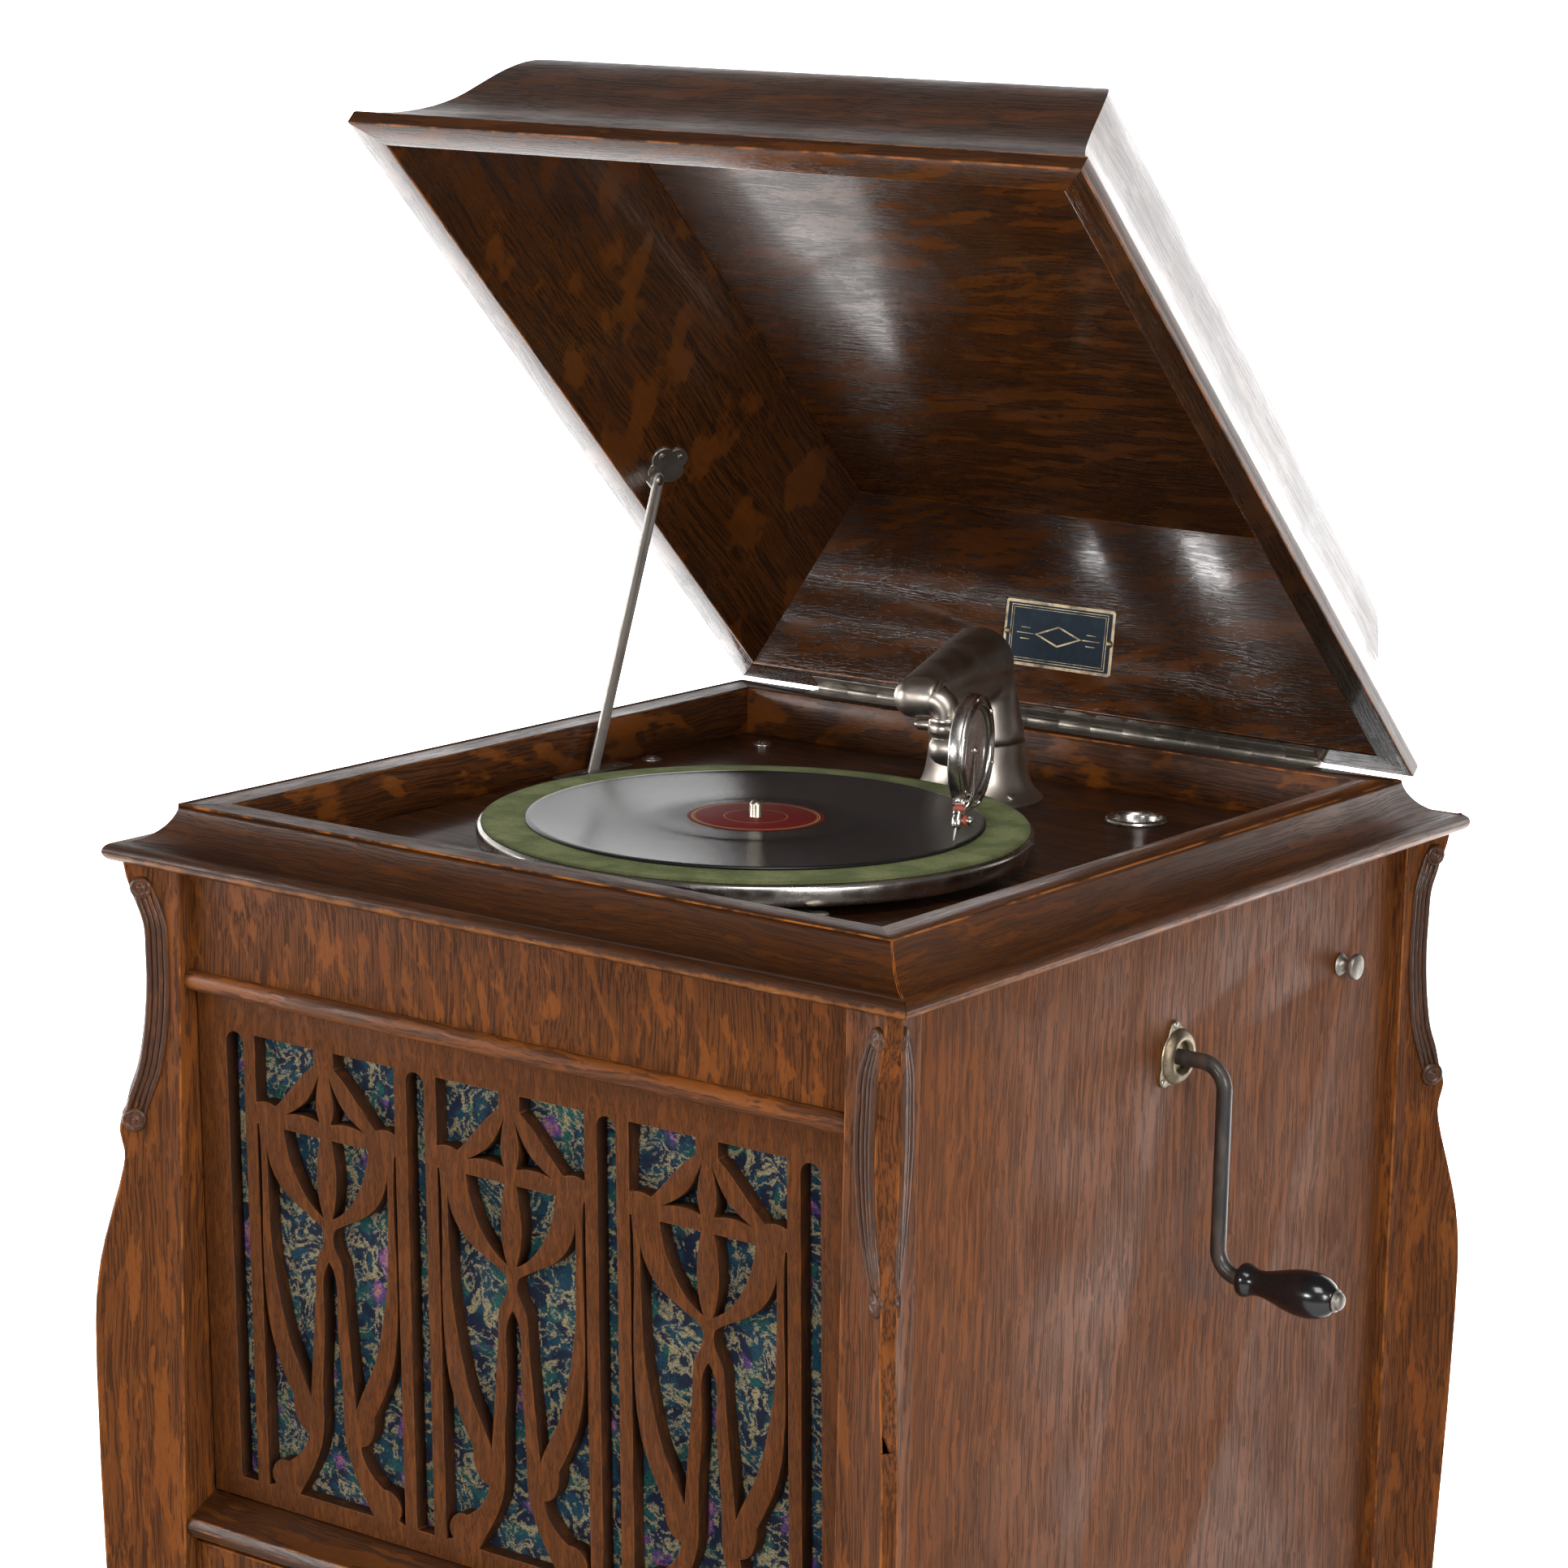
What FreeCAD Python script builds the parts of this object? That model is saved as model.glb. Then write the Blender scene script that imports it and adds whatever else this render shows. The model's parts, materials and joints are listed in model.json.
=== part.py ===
import FreeCAD, Part
import math
import os
import re
import Sketcher
from FreeCAD import Placement, Rotation, Vector

# Floor-standing wind-up phonograph, in millimetres.
# Origin on the floor under the middle of the cabinet, front towards -Y, winding crank on the +X side.
# The lid stands open on its stay and the needle is set down on a record.

os.makedirs("parts", exist_ok=True)
doc = FreeCAD.newDocument("Phonograph")
sheet = doc.addObject("Spreadsheet::Sheet", "D")

SIZES = {
    # cabinet
    "rim_top": 1065, "rim_half_wide": 237, "rim_half_deep": 255, "rim_wall": 20.4, "cornice_under": 30.3,
    "post_out_wide": 248.8, "post_out_deep": 271, "post_side": 26.7, "fin_half": 4.25, "fin_sweep": 41,
    "panel_out": 241.1, "panel_thick": 16, "frieze_out": 263.4, "back_thick": 10,
    "bead_under": 99.6, "bead_high": 11.6, "grille_rail_under": 416.4, "grille_rail_high": 24,
    "base_low": 45, "base_high": 60, "shelf_thick": 16, "shelf_mid": 450, "divider_thick": 6,
    "door_thick": 18,
    "grille_thick": 9, "grille_lean": 2.3, "grille_top_back": 259.3, "motif_pitch": 129.2, "slot_half": 6.2,
    "fret_above": 19.5, "fret_under": 279.5,
    # motor board and what stands on it
    "board_drop": 28.6, "board_thick": 16, "board_half_wide": 216, "board_half_deep": 234,
    "spindle_ahead": 47, "record_drop": 6.4, "record_thick": 2, "felt_thick": 1.6,
    "platter_radius": 154, "platter_high": 12.5, "record_radius": 127, "spindle_radius": 4.5,
    "pin_radius": 3.6,
    "arm_post_off": 3, "arm_post_back": 166.5, "cup_off": 111.7, "cup_back": 170.7, "cup_radius": 18,
    # lid
    "lid_half_wide": 240.9, "lid_long": 521.4, "lid_high": 105, "lid_inner_high": 93, "lid_rim": 17.8,
    "hinge_back": 261.5, "hinge_up": 0.65, "lid_open": 44.03,
    # crank and side controls
    "crank_back": 8, "crank_drop": 112, "crank_throw": 115, "crank_arm_out": 272, "crank_rod": 4.4,
    "tone_back": 184, "tone_drop": 95, "tone_knob_radius": 7.5,
    # motor
    "gear_module": 1, "barrel_teeth": 104, "pinion_teeth": 20, "wheel_teeth": 60, "spindle_teeth": 16,
    "arbor_left": 45, "barrel_radius": 47, "motor_top": 1012, "motor_bottom": 884,
}
for row, (alias, value) in enumerate(SIZES.items(), start=1):
    sheet.set(f"A{row}", alias)
    sheet.set(f"B{row}", str(value))
    sheet.setAlias(f"B{row}", alias)
doc.recompute()

subparts = {}


def formula(text):
    """A spreadsheet expression from a text that names the sheet's aliases."""
    return re.sub(r"[a-z][a-z_]+", lambda word: "D." + word[0] if word[0] in SIZES else word[0], str(text))


def size(text):
    """The value in millimetres or degrees of such a text."""
    return float(sheet.evalExpression(formula(text)))


def bind(item, **values):
    for name, text in values.items():
        item.setExpression(name.replace("_", "."), formula(text))


def place(item, corner):
    for axis, text in zip("xyz", corner):
        item.setExpression(f"Placement.Base.{axis}", formula(text))


def keep(label, item):
    item.Label = label
    subparts[label] = item
    return item


def box(name, lengths, corner):
    """A box with its edges and its lowest corner bound to the sheet."""
    item = doc.addObject("Part::Box", name)
    bind(item, Length=lengths[0], Width=lengths[1], Height=lengths[2])
    place(item, corner)
    return item


def rod(name, radius, length, start, direction=(0, 0, 1)):
    """A cylinder from start along direction."""
    item = doc.addObject("Part::Cylinder", name)
    item.Placement.Rotation = Rotation(Vector(0, 0, 1), Vector(*direction))
    bind(item, Radius=radius, Height=length)
    place(item, start)
    return item


def fuse(name, items):
    item = doc.addObject("Part::MultiFuse", name)
    item.Shapes = items
    return item


def cut(name, base, tools):
    item = doc.addObject("Part::Cut", name)
    item.Base = base
    item.Tool = tools[0] if len(tools) == 1 else fuse(name + "_tools", tools)
    return item


def group(name, items):
    item = doc.addObject("Part::Compound", name)
    item.Links = items
    return item


def mirrored(name, source, normal):
    item = doc.addObject("Part::Mirroring", name)
    item.Source = source
    item.Normal = Vector(*normal)
    return item


def feature(name, shape):
    item = doc.addObject("Part::Feature", name)
    item.Shape = shape
    return item


def turned(name, outline, start, direction=(0, 0, 1)):
    """A body turned about its own axis: outline is (radius, height) pairs, start the place of height 0."""
    body = doc.addObject("PartDesign::Body", name)
    sketch = body.newObject("Sketcher::SketchObject", name + "_outline")
    plane = [item for item in body.Origin.OriginFeatures if item.Role == "XZ_Plane"][0]
    sketch.AttachmentSupport = (plane, [""])
    sketch.MapMode = "FlatFace"
    points = [Vector(size(radius), size(height), 0) for radius, height in outline]
    for first, second in zip(points, points[1:] + points[:1]):
        sketch.addGeometry(Part.LineSegment(first, second), False)
    for index in range(len(points)):
        sketch.addConstraint(Sketcher.Constraint("Coincident", index, 2, (index + 1) % len(points), 1))
    for index, (radius, height) in enumerate(outline):
        for kind, axis, text, value in (("DistanceX", -2, radius, points[index].x),
                                        ("DistanceY", -1, height, points[index].y)):
            if value == 0:
                sketch.addConstraint(Sketcher.Constraint("PointOnObject", index, 1, axis))
            else:
                number = sketch.addConstraint(Sketcher.Constraint(kind, -1, 1, index, 1, value))
                sketch.setExpression(f"Constraints[{number}]", formula(text))
    turn = body.newObject("PartDesign::Revolution", name + "_turn")
    turn.Profile = sketch
    turn.ReferenceAxis = (sketch, ["V_Axis"])
    turn.Angle = 360
    body.Tip = turn
    body.Placement.Rotation = Rotation(Vector(0, 0, 1), Vector(*direction))
    place(body, start)
    return body


def prism(points, direction):
    """A polygon of 3-D points swept along a vector."""
    return Part.Face(Part.makePolygon(points + points[:1])).extrude(direction)


def edge_loop(edges, direction):
    return Part.Face(Part.Wire(edges)).extrude(direction)


def line(*points):
    return [Part.LineSegment(a, b).toShape() for a, b in zip(points, points[1:])]


def spline(points):
    curve = Part.BSplineCurve()
    curve.interpolate(points)
    return curve.toShape()


RIM = size("rim_top")
BOARD = size("rim_top - board_drop")


# ---------------------------------------------------------------- corner posts and their carved scrolls

# How far the fin's nose stands beyond the square corner, along the diagonal, from the foot up.
NOSE = ((0, 22), (25, 25), (60, 14), (130, 7), (240, 9), (400, 15.5), (520, 20), (630, 25), (750, 28.8),
        (800, 27), (840, 18), (862, 12.5), (872, 12), (884, 14.4), (893, 12), (920, 3.5), (965, -1.2),
        (1000, 0), (1018, 6.5), (1034.7, 11))


def plan_section(grow):
    """Plan of the front right post: square block, faces swept by arcs into a diagonal fin."""
    sweep = size("fin_sweep") - grow
    half = size("fin_half") + grow
    block = size("post_side")
    reach = sweep * math.tan(math.radians(22.5))
    vertex = -half * math.sqrt(2) + grow
    start = Vector(vertex - reach, -grow, 0)
    leave = Vector(vertex + reach / math.sqrt(2), -grow - reach / math.sqrt(2), 0)
    along = Vector(1, -1, 0).normalize()
    tip = leave + along * 34
    centre = start - Vector(0, sweep, 0)
    middle = centre + Vector(math.sin(math.radians(22.5)), math.cos(math.radians(22.5)), 0) * sweep

    def flip(point):
        return Vector(-point.y, -point.x, 0)
    inner = Vector(-block, block, 0)
    front = Vector(min(-block, start.x - 0.01), -grow, 0)
    loop = line(front, start) + [Part.Arc(start, middle, leave).toShape()]
    loop += line(leave, tip, flip(tip), flip(leave))
    loop += [Part.Arc(flip(leave), flip(middle), flip(start)).toShape()]
    loop += line(flip(start), flip(front), inner, front)
    return loop


def diagonal_prism(inner_offset, low, high):
    """Everything behind the nose curve, and no more than inner_offset behind it when that is given."""
    along = Vector(1, -1, 0).normalize()
    across = Vector(1, 1, 0).normalize()

    def at(reach, height):
        return along * reach - across * 60 + Vector(0, 0, height)
    nose = [(height, reach) for height, reach in NOSE if low <= height <= high]
    outer = [at(reach, height) for height, reach in nose]
    back = -80 if inner_offset is None else 0
    if inner_offset is None:
        edges = [spline(outer)] + line(outer[-1], at(back, nose[-1][0]), at(back, nose[0][0]), outer[0])
    else:
        inner = [at(reach - inner_offset, height) for height, reach in nose]
        edges = [spline(outer)] + line(outer[-1], inner[-1])
        edges += [spline(inner[::-1])] + line(inner[0], outer[0])
    return edge_loop(edges, across * 120)


POST_TOP = size("rim_top - cornice_under")
corner = Vector(size("post_out_wide"), -size("post_out_deep"), 0)
block = edge_loop(plan_section(0), Vector(0, 0, POST_TOP))
post_shape = block.common(diagonal_prism(None, 0, POST_TOP))
band = edge_loop(plan_section(1.8), Vector(0, 0, POST_TOP))
scroll_shape = band.common(diagonal_prism(12, 884, 1018)).cut(block)
post_shape.translate(corner)
scroll_shape.translate(corner)
post_model = feature("post_model", post_shape)
scroll_model = feature("scroll_model", scroll_shape)
post_left = mirrored("post_left", post_model, (1, 0, 0))
keep("corner_posts_front", group("posts_front", [post_model, post_left]))
keep("corner_posts_back", mirrored("posts_back", subparts["corner_posts_front"], (0, 1, 0)))
scrolls_front = group("scrolls_front", [scroll_model, mirrored("scroll_left", scroll_model, (1, 0, 0))])
keep("post_scrolls", group("scrolls", [scrolls_front, mirrored("scrolls_back", scrolls_front, (0, 1, 0))]))

# ---------------------------------------------------------------- panels, rails, shelves

PANEL_HIGH = "rim_top - cornice_under - base_low - base_high"
SIDE_LONG = "2 * (post_out_deep - post_side)"
for side, left in (("left", "-panel_out"), ("right", "panel_out - panel_thick")):
    panel = box(f"side_{side}", ("panel_thick", SIDE_LONG, PANEL_HIGH),
                (left, "-(post_out_deep - post_side)", "base_low + base_high"))
    if side == "right":
        crank_start = ("panel_out - 40", "crank_back", "rim_top - crank_drop")
        tone_start = ("panel_out - 40", "tone_back", "rim_top - tone_drop")
        panel = cut("side_right_cut", panel, [rod("crank_hole", 12, 60, crank_start, (1, 0, 0)),
                                              rod("tone_hole", 4, 60, tone_start, (1, 0, 0))])
    keep(f"side_panel_{side}", panel)

FRONT_HALF = "post_out_wide - post_side - 0.1"
FRONT_WIDE = f"2 * ({FRONT_HALF})"
keep("back_panel", box("back", (FRONT_WIDE, "back_thick", PANEL_HIGH),
                       (f"-({FRONT_HALF})", "post_out_deep - post_side", "base_low + base_high")))
keep("frieze_board", box("frieze", (FRONT_WIDE, "panel_thick", "bead_under - bead_high - cornice_under"),
                         (f"-({FRONT_HALF})", "-frieze_out", "rim_top - bead_under + bead_high")))


def moulding(name, outline, half):
    """A straight moulding across the front: outline is (depth, height) points, half its half length."""
    points = [Vector(-half, depth, height) for depth, height in outline]
    return feature(name, prism(points, Vector(2 * half, 0, 0)))


half_front = size(FRONT_HALF)
bead_low = size("rim_top - bead_under")
bead_high = size("bead_high")
BEAD_PROUD = 5
BEAD_BACK = -250
BEAD_STEPS = 8
bead = [(BEAD_BACK, bead_low + bead_high), (BEAD_BACK, bead_low)]
for step in range(BEAD_STEPS + 1):
    round_angle = math.pi * step / BEAD_STEPS
    proud = size("frieze_out") + BEAD_PROUD * math.sin(round_angle)
    bead.append((-proud, bead_low + bead_high * (1 - math.cos(round_angle)) / 2))
keep("grille_bead", moulding("bead", bead, half_front))
rail_low = size("rim_top - grille_rail_under")
RAIL = ((-224, 0), (-262, 0), (-268, 3), (-270, 8), (-268, 13), (-263, 15), (-258, 17.5), (-252, 21),
        (-244, 24), (-224, 24))
keep("grille_rail", moulding("rail", [(depth, rail_low + up) for depth, up in RAIL], half_front))

BEHIND = "post_out_deep - post_side - 0.1"
boards = []
for name, level, ahead in (("upper", "rim_top - grille_rail_under", 222), ("mid", "shelf_mid", 240),
                           ("low", "base_low + base_high", 240)):
    lengths = ("2 * (panel_out - panel_thick)", f"{ahead} + {BEHIND}", "shelf_thick")
    boards.append(box(f"shelf_{name}", lengths, ("-(panel_out - panel_thick)", -ahead, level)))
keep("shelves", group("shelf_group", boards))
DIVIDER_FRONT = 225
dividers = []
for number, middle in enumerate((-112, 0, 112)):
    high = "shelf_mid - base_low - base_high - shelf_thick"
    lengths = ("divider_thick", f"{DIVIDER_FRONT} + {BEHIND}", high)
    place_at = (f"{middle} - divider_thick / 2", -DIVIDER_FRONT, "base_low + base_high + shelf_thick")
    dividers.append(box(f"divider_{number}", lengths, place_at))
keep("record_dividers", group("divider_group", dividers))
rails = []
for name, face in (("front", "-frieze_out"), ("back", "frieze_out - 18")):
    rails.append(box(f"base_{name}", (FRONT_WIDE, 18, "base_high"), (f"-({FRONT_HALF})", face, "base_low")))
for name, face in (("left", "-panel_out"), ("right", "panel_out - 18")):
    rails.append(box(f"base_{name}", (18, SIDE_LONG, "base_high"),
                     (face, "-(post_out_deep - post_side)", "base_low")))
keep("base_rails", group("base_group", rails))


def mitred(outline, half_wide, half_deep, middle_back, base):
    """Four mitred lengths round a rectangle: outline is (outward, up) edges in a plane, closed."""
    pieces = []
    face = Part.Face(Part.Wire(outline))
    for turn in range(4):
        out, along = (half_deep, half_wide) if turn % 2 == 0 else (half_wide, half_deep)
        reach = along + 80
        stick = face.extrude(Vector(2 * reach, 0, 0))
        stick.translate(Vector(-reach, -out, base))
        wedge = prism([Vector(side * (along + spread), -out - spread, base - 60)
                       for side, spread in ((-1, 60), (1, 60), (1, -120), (-1, -120))], Vector(0, 0, 300))
        piece = stick.common(wedge)
        piece.rotate(Vector(0, 0, 0), Vector(0, 0, 1), 90 * turn)
        piece.translate(Vector(0, middle_back, 0))
        pieces.append(piece)
    return pieces


def section(points):
    """Section points (outward, up) as points of the plane x = 0."""
    return [Vector(0, -outward, up) for outward, up in points]


wall = size("rim_wall")
under = size("cornice_under")
top_in, top_out, cove_mid, cove_end = section([(-wall, 0), (0, 0), (8, -14), (26, -20.8)])
nose_mid, nose_low, foot = section([(30.1, -25.4), (26, -30.3), (-wall, -under)])
cornice = line(top_in, top_out) + [Part.Arc(top_out, cove_mid, cove_end).toShape()]
cornice += [Part.Arc(cove_end, nose_mid, nose_low).toShape()] + line(nose_low, foot, top_in)
cornice_sticks = mitred(cornice, size("rim_half_wide"), size("rim_half_deep"), 0, RIM)
leaf_pocket = Part.makeBox(360, 30, 5, Vector(-180, size("hinge_back") - 18, RIM - 1))
keep("cornice", feature("cornice_rails", Part.makeCompound(cornice_sticks).cut(leaf_pocket)))

# ---------------------------------------------------------------- grille: fretted panel and its cloth

GRILLE_HIGH = size("grille_rail_under - grille_rail_high - bead_under") - 1
FRET_TOP = -size("fret_above")
FRET_LOW = -size("fret_under")
BAR_TOP = -60
BAR_LOW = -69
BAR_SIDE = 50

# Half of one motif, as openings: (across from its middle, up from the panel's top edge).
# A run of two points is straight, and a longer run is a smooth curve.
CORNER_OPENING = (
    ((7, FRET_TOP), (BAR_SIDE, FRET_TOP)),
    ((BAR_SIDE, FRET_TOP), (BAR_SIDE, -57)),
    ((BAR_SIDE, -57), (44, -55.5), (36, -57)),
    ((36, -57), (29, -50), (17.5, -37.5), (7, -28.5)),
    ((7, -28.5), (7, FRET_TOP)))
EYE_OPENING = (
    ((3.4, -33.5), (7.2, -41), (12.5, -49), (20, -55.3), (28, BAR_TOP)),
    ((28, BAR_TOP), (16, -58.2), (4, BAR_TOP)),
    ((4, BAR_TOP), (6.2, -49), (5, -40), (3.4, -33.5)))
BOWL_OPENING = (
    ((4, BAR_LOW), (30.5, BAR_LOW)),
    ((30.5, BAR_LOW), (27.5, -83), (21, -97), (13, -107), (3, -113.8)),
    ((3, -113.8), (7, -95), (6.4, -82), (4, BAR_LOW)))
TULIP_OPENING = (
    ((43.4, -82), (40, -93.5), (32, -104), (20, -111.5), (5, -119.5)),
    ((5, -119.5), (3.4, -124.5), (4.6, -130.5), (8.6, -137.5), (10.4, -150), (11.8, -170), (14.4, -197),
     (16.6, -220)),
    ((16.6, -220), (22, -208.4), (29.5, -194), (37, -168), (41, -147), (42.8, -125), (43.4, -82)))
SIDE_OPENING = (
    ((48.8, BAR_LOW), (48.6, -140), (47.6, -168), (43.8, -191), (36.8, -208.5), (29.5, -222)),
    ((29.5, -222), (28.8, -231), (24, -239), (19, -241)),
    ((19, -241), (21.5, -249), (28, -257), (35, -262)),
    ((35, -262), (42, -263), (47.2, -270), (45, -277.5)),
    ((45, -277.5), (BAR_SIDE, FRET_LOW)),
    ((BAR_SIDE, FRET_LOW), (BAR_SIDE, BAR_LOW)),
    ((BAR_SIDE, BAR_LOW), (48.8, BAR_LOW)))
LEG_OPENING = (
    ((0, -138.5), (3.6, -145), (4.6, -168), (6.3, -197), (7.4, -220), (8.2, -240), (12.4, -254), (19.8, -268),
     (27, FRET_LOW)),
    ((27, FRET_LOW), (-1, FRET_LOW)),
    ((-1, FRET_LOW), (-1, -142)),
    ((-1, -142), (0, -138.5)))
MOTIF = (CORNER_OPENING, EYE_OPENING, BOWL_OPENING, TULIP_OPENING, SIDE_OPENING, LEG_OPENING)


def slot_edges(middle):
    """A round-topped slot with a flat foot, in the panel's own plane."""
    half = size("slot_half")
    foot_left, foot_right = Vector(middle - half, 0, FRET_LOW), Vector(middle + half, 0, FRET_LOW)
    left, right = Vector(middle - half, 0, FRET_TOP - half), Vector(middle + half, 0, FRET_TOP - half)
    crown = Part.Arc(right, Vector(middle, 0, FRET_TOP), left).toShape()
    return line(left, foot_left, foot_right, right) + [crown]


def opening_edges(runs, middle, hand):
    """One opening of the motif, mirrored where hand is -1."""
    edges = []
    for run in runs:
        points = [Vector(middle + hand * across, 0, up) for across, up in run]
        edges += line(*points) if len(points) == 2 else [spline(points)]
    return edges


MOTIF_PITCH = size("motif_pitch")
openings = [slot_edges(MOTIF_PITCH * number) for number in (-1.5, -0.5, 0.5, 1.5)]
for number in (-1, 0, 1):
    for hand in (-1, 1):
        openings += [opening_edges(runs, MOTIF_PITCH * number, hand) for runs in MOTIF]
half_panel = half_front - 1.5
fret = Part.makeBox(2 * half_panel, size("grille_thick"), GRILLE_HIGH, Vector(-half_panel, 0, -GRILLE_HIGH))
holes = [edge_loop(edges, Vector(0, 40, 0)).translated(Vector(0, -20, 0)) for edges in openings]
lean = Placement(Vector(0, -size("grille_top_back"), bead_low - 0.5),
                 Rotation(Vector(1, 0, 0), size("grille_lean")))
fret_panel = feature("fret_panel", fret.cut(holes))
fret_panel.Placement = lean
keep("grille_panel", fret_panel)
cloth_half = half_front - 6
cloth_corner = Vector(-cloth_half, size("grille_thick") + 0.1, 4 - GRILLE_HIGH)
cloth = feature("cloth", Part.makeBox(2 * cloth_half, 1, GRILLE_HIGH - 8, cloth_corner))
cloth.Placement = lean
keep("grille_cloth", cloth)

# ---------------------------------------------------------------- motor board

ARBOR = Vector(-size("arbor_left"), size("crank_back"), 0)
SPINDLE = Vector(0, -size("spindle_ahead"), 0)
BRAKE_X, BRAKE_Y = 118, -150
SPEED_X, SPEED_Y = -118, -160
STAY_X, STAY_Y = -209, 70
BOARD_TOP = "rim_top - board_drop"
BOARD_UNDER = "rim_top - board_drop - board_thick"
board_lengths = ("2 * board_half_wide", "2 * board_half_deep", "board_thick")
board = box("board", board_lengths, ("-board_half_wide", "-board_half_deep", BOARD_UNDER))
HOLE_LOW = BOARD_UNDER + " - 5"
board_holes = [
    rod("spindle_hole", 9, 40, (0, "-spindle_ahead", HOLE_LOW)),
    rod("throat_hole", 25, 40, ("arm_post_off", "arm_post_back", HOLE_LOW)),
    rod("cup_hole", 15.2, 40, ("cup_off", "cup_back", HOLE_LOW)),
    rod("brake_hole", 3, 40, (BRAKE_X, BRAKE_Y, HOLE_LOW)),
    rod("speed_hole", 3, 40, (SPEED_X, SPEED_Y, HOLE_LOW)),
    box("stay_hole", (5, 46, 40), (STAY_X - 2.5, STAY_Y - 23, HOLE_LOW)),
]
keep("motor_board", cut("board_cut", board, board_holes))
CLEAT = 15
SIDE_INNER = "-(panel_out - panel_thick)"
cleats = []
for name, left, ahead, wide, deep in (("left_front", SIDE_INNER, -225, CLEAT, 220),
                                      ("left_back", SIDE_INNER, 120, CLEAT, 100),
                                      ("right", f"panel_out - panel_thick - {CLEAT}", -220, CLEAT, 440),
                                      ("front", -190, -247, 380, CLEAT)):
    cleats.append(box(f"cleat_{name}", (wide, deep, CLEAT), (left, ahead, f"{BOARD_UNDER} - {CLEAT}")))
keep("board_cleats", group("cleat_group", cleats))

SCREW_OUTLINE = [(0, 0), (5.5, 0), (5, 1.2), (2.5, 2.2), (0, 2.4)]
screws = []
for hand in (-1, 1):
    for across, back in ((185.7, 208.9), (206, 126), (200, -215)):
        screws.append(turned(f"board_screw_{len(screws)}", SCREW_OUTLINE, (hand * across, back, BOARD_TOP)))
keep("board_screws", group("board_screw_group", screws))
guide = box("guide", (12, 62, 1.6), (STAY_X - 6, STAY_Y - 31, BOARD_TOP))
guide_slot = box("guide_slot", (3.2, 44, 10), (STAY_X - 1.6, STAY_Y - 22, BOARD_TOP + " - 4"))
keep("stay_guide", cut("guide_cut", guide, [guide_slot]))
CUP_OUTLINE = [(0, 0), (14, 0), (15, 3), (15, 12), ("cup_radius", 12), ("cup_radius", 13.6), (14.5, 13.6),
               (13.2, 12.2), (13.2, 4), (12.5, 1.6), (0, 1.6)]
keep("needle_cup", turned("cup", CUP_OUTLINE, ("cup_off", "cup_back", BOARD_TOP + " - 12")))

# ---------------------------------------------------------------- turntable group

PLATTER_TOP = "rim_top - record_drop - record_thick - felt_thick"
DISC_TOP = "rim_top - record_drop"
PLATTER_OUTLINE = [
    ("spindle_radius", 0), (12, 0), (12, "platter_high - 3"), ("platter_radius - 12", "platter_high - 3"),
    ("platter_radius - 3", "platter_high - 5"), ("platter_radius - 3", 0.8), ("platter_radius - 1", 0),
    ("platter_radius", 1), ("platter_radius", "platter_high - 2.5"),
    ("platter_radius - 1.5", "platter_high - 0.4"), ("platter_radius - 3", "platter_high"),
    ("spindle_radius", "platter_high")]
FELT_OUTLINE = [("spindle_radius", 0), ("platter_radius - 2.5", 0), ("platter_radius - 3", "felt_thick"),
                ("spindle_radius", "felt_thick")]
DISC_OUTLINE = [("pin_radius", 0), ("record_radius - 0.8", 0), ("record_radius", "record_thick / 2"),
                ("record_radius - 0.8", "record_thick"), ("pin_radius", "record_thick")]
keep("turntable", turned("platter", PLATTER_OUTLINE, (0, "-spindle_ahead", f"{PLATTER_TOP} - platter_high")))
keep("turntable_felt", turned("felt", FELT_OUTLINE, (0, "-spindle_ahead", PLATTER_TOP)))
keep("record", turned("disc", DISC_OUTLINE, (0, "-spindle_ahead", f"{DISC_TOP} - record_thick")))
SHAFT_LOW = "motor_bottom + 6"
SHOULDER = f"{PLATTER_TOP} + felt_thick - ({SHAFT_LOW})"
PIN_TOP = f"{DISC_TOP} - ({SHAFT_LOW})"
SHAFT_OUTLINE = [(0, 0), ("spindle_radius - 1", 0), ("spindle_radius", 3), ("spindle_radius", SHOULDER),
                 ("pin_radius", SHOULDER), ("pin_radius", f"{PIN_TOP} + 7"), (2.4, f"{PIN_TOP} + 8.6"),
                 (0, f"{PIN_TOP} + 8.8")]
shaft = turned("spindle_shaft", SHAFT_OUTLINE, (0, "-spindle_ahead", SHAFT_LOW))


# ---------------------------------------------------------------- motor

def gear(teeth, thick, bore, phase):
    """A spur wheel about Z with low stub teeth; phase is the angle of one tooth in degrees."""
    pitch = size("gear_module") * teeth / 2
    points = []
    step = 360 / teeth
    for number in range(teeth):
        middle = phase + number * step
        for share, reach in ((-0.32, -0.9), (-0.12, 0.55), (0.12, 0.55), (0.32, -0.9)):
            angle = math.radians(middle + share * step)
            points.append(Vector(math.cos(angle), math.sin(angle), 0) * (pitch + reach))
    wheel = prism(points, Vector(0, 0, thick))
    return wheel.cut(Part.makeCylinder(bore, thick + 2, Vector(0, 0, -1))) if bore else wheel


def toward(first, second):
    return math.degrees(math.atan2(second.y - first.y, second.x - first.x))


unit = size("gear_module") / 2
barrel_to_idler = unit * size("barrel_teeth + pinion_teeth")
idler_to_spindle = unit * size("wheel_teeth + spindle_teeth")
apart = SPINDLE - ARBOR
along = (barrel_to_idler ** 2 - idler_to_spindle ** 2 + apart.Length ** 2) / (2 * apart.Length)
aside = math.sqrt(barrel_to_idler ** 2 - along ** 2)
direct = Vector(apart).normalize()
IDLER = ARBOR + direct * along - Vector(-direct.y, direct.x, 0) * aside

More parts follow.
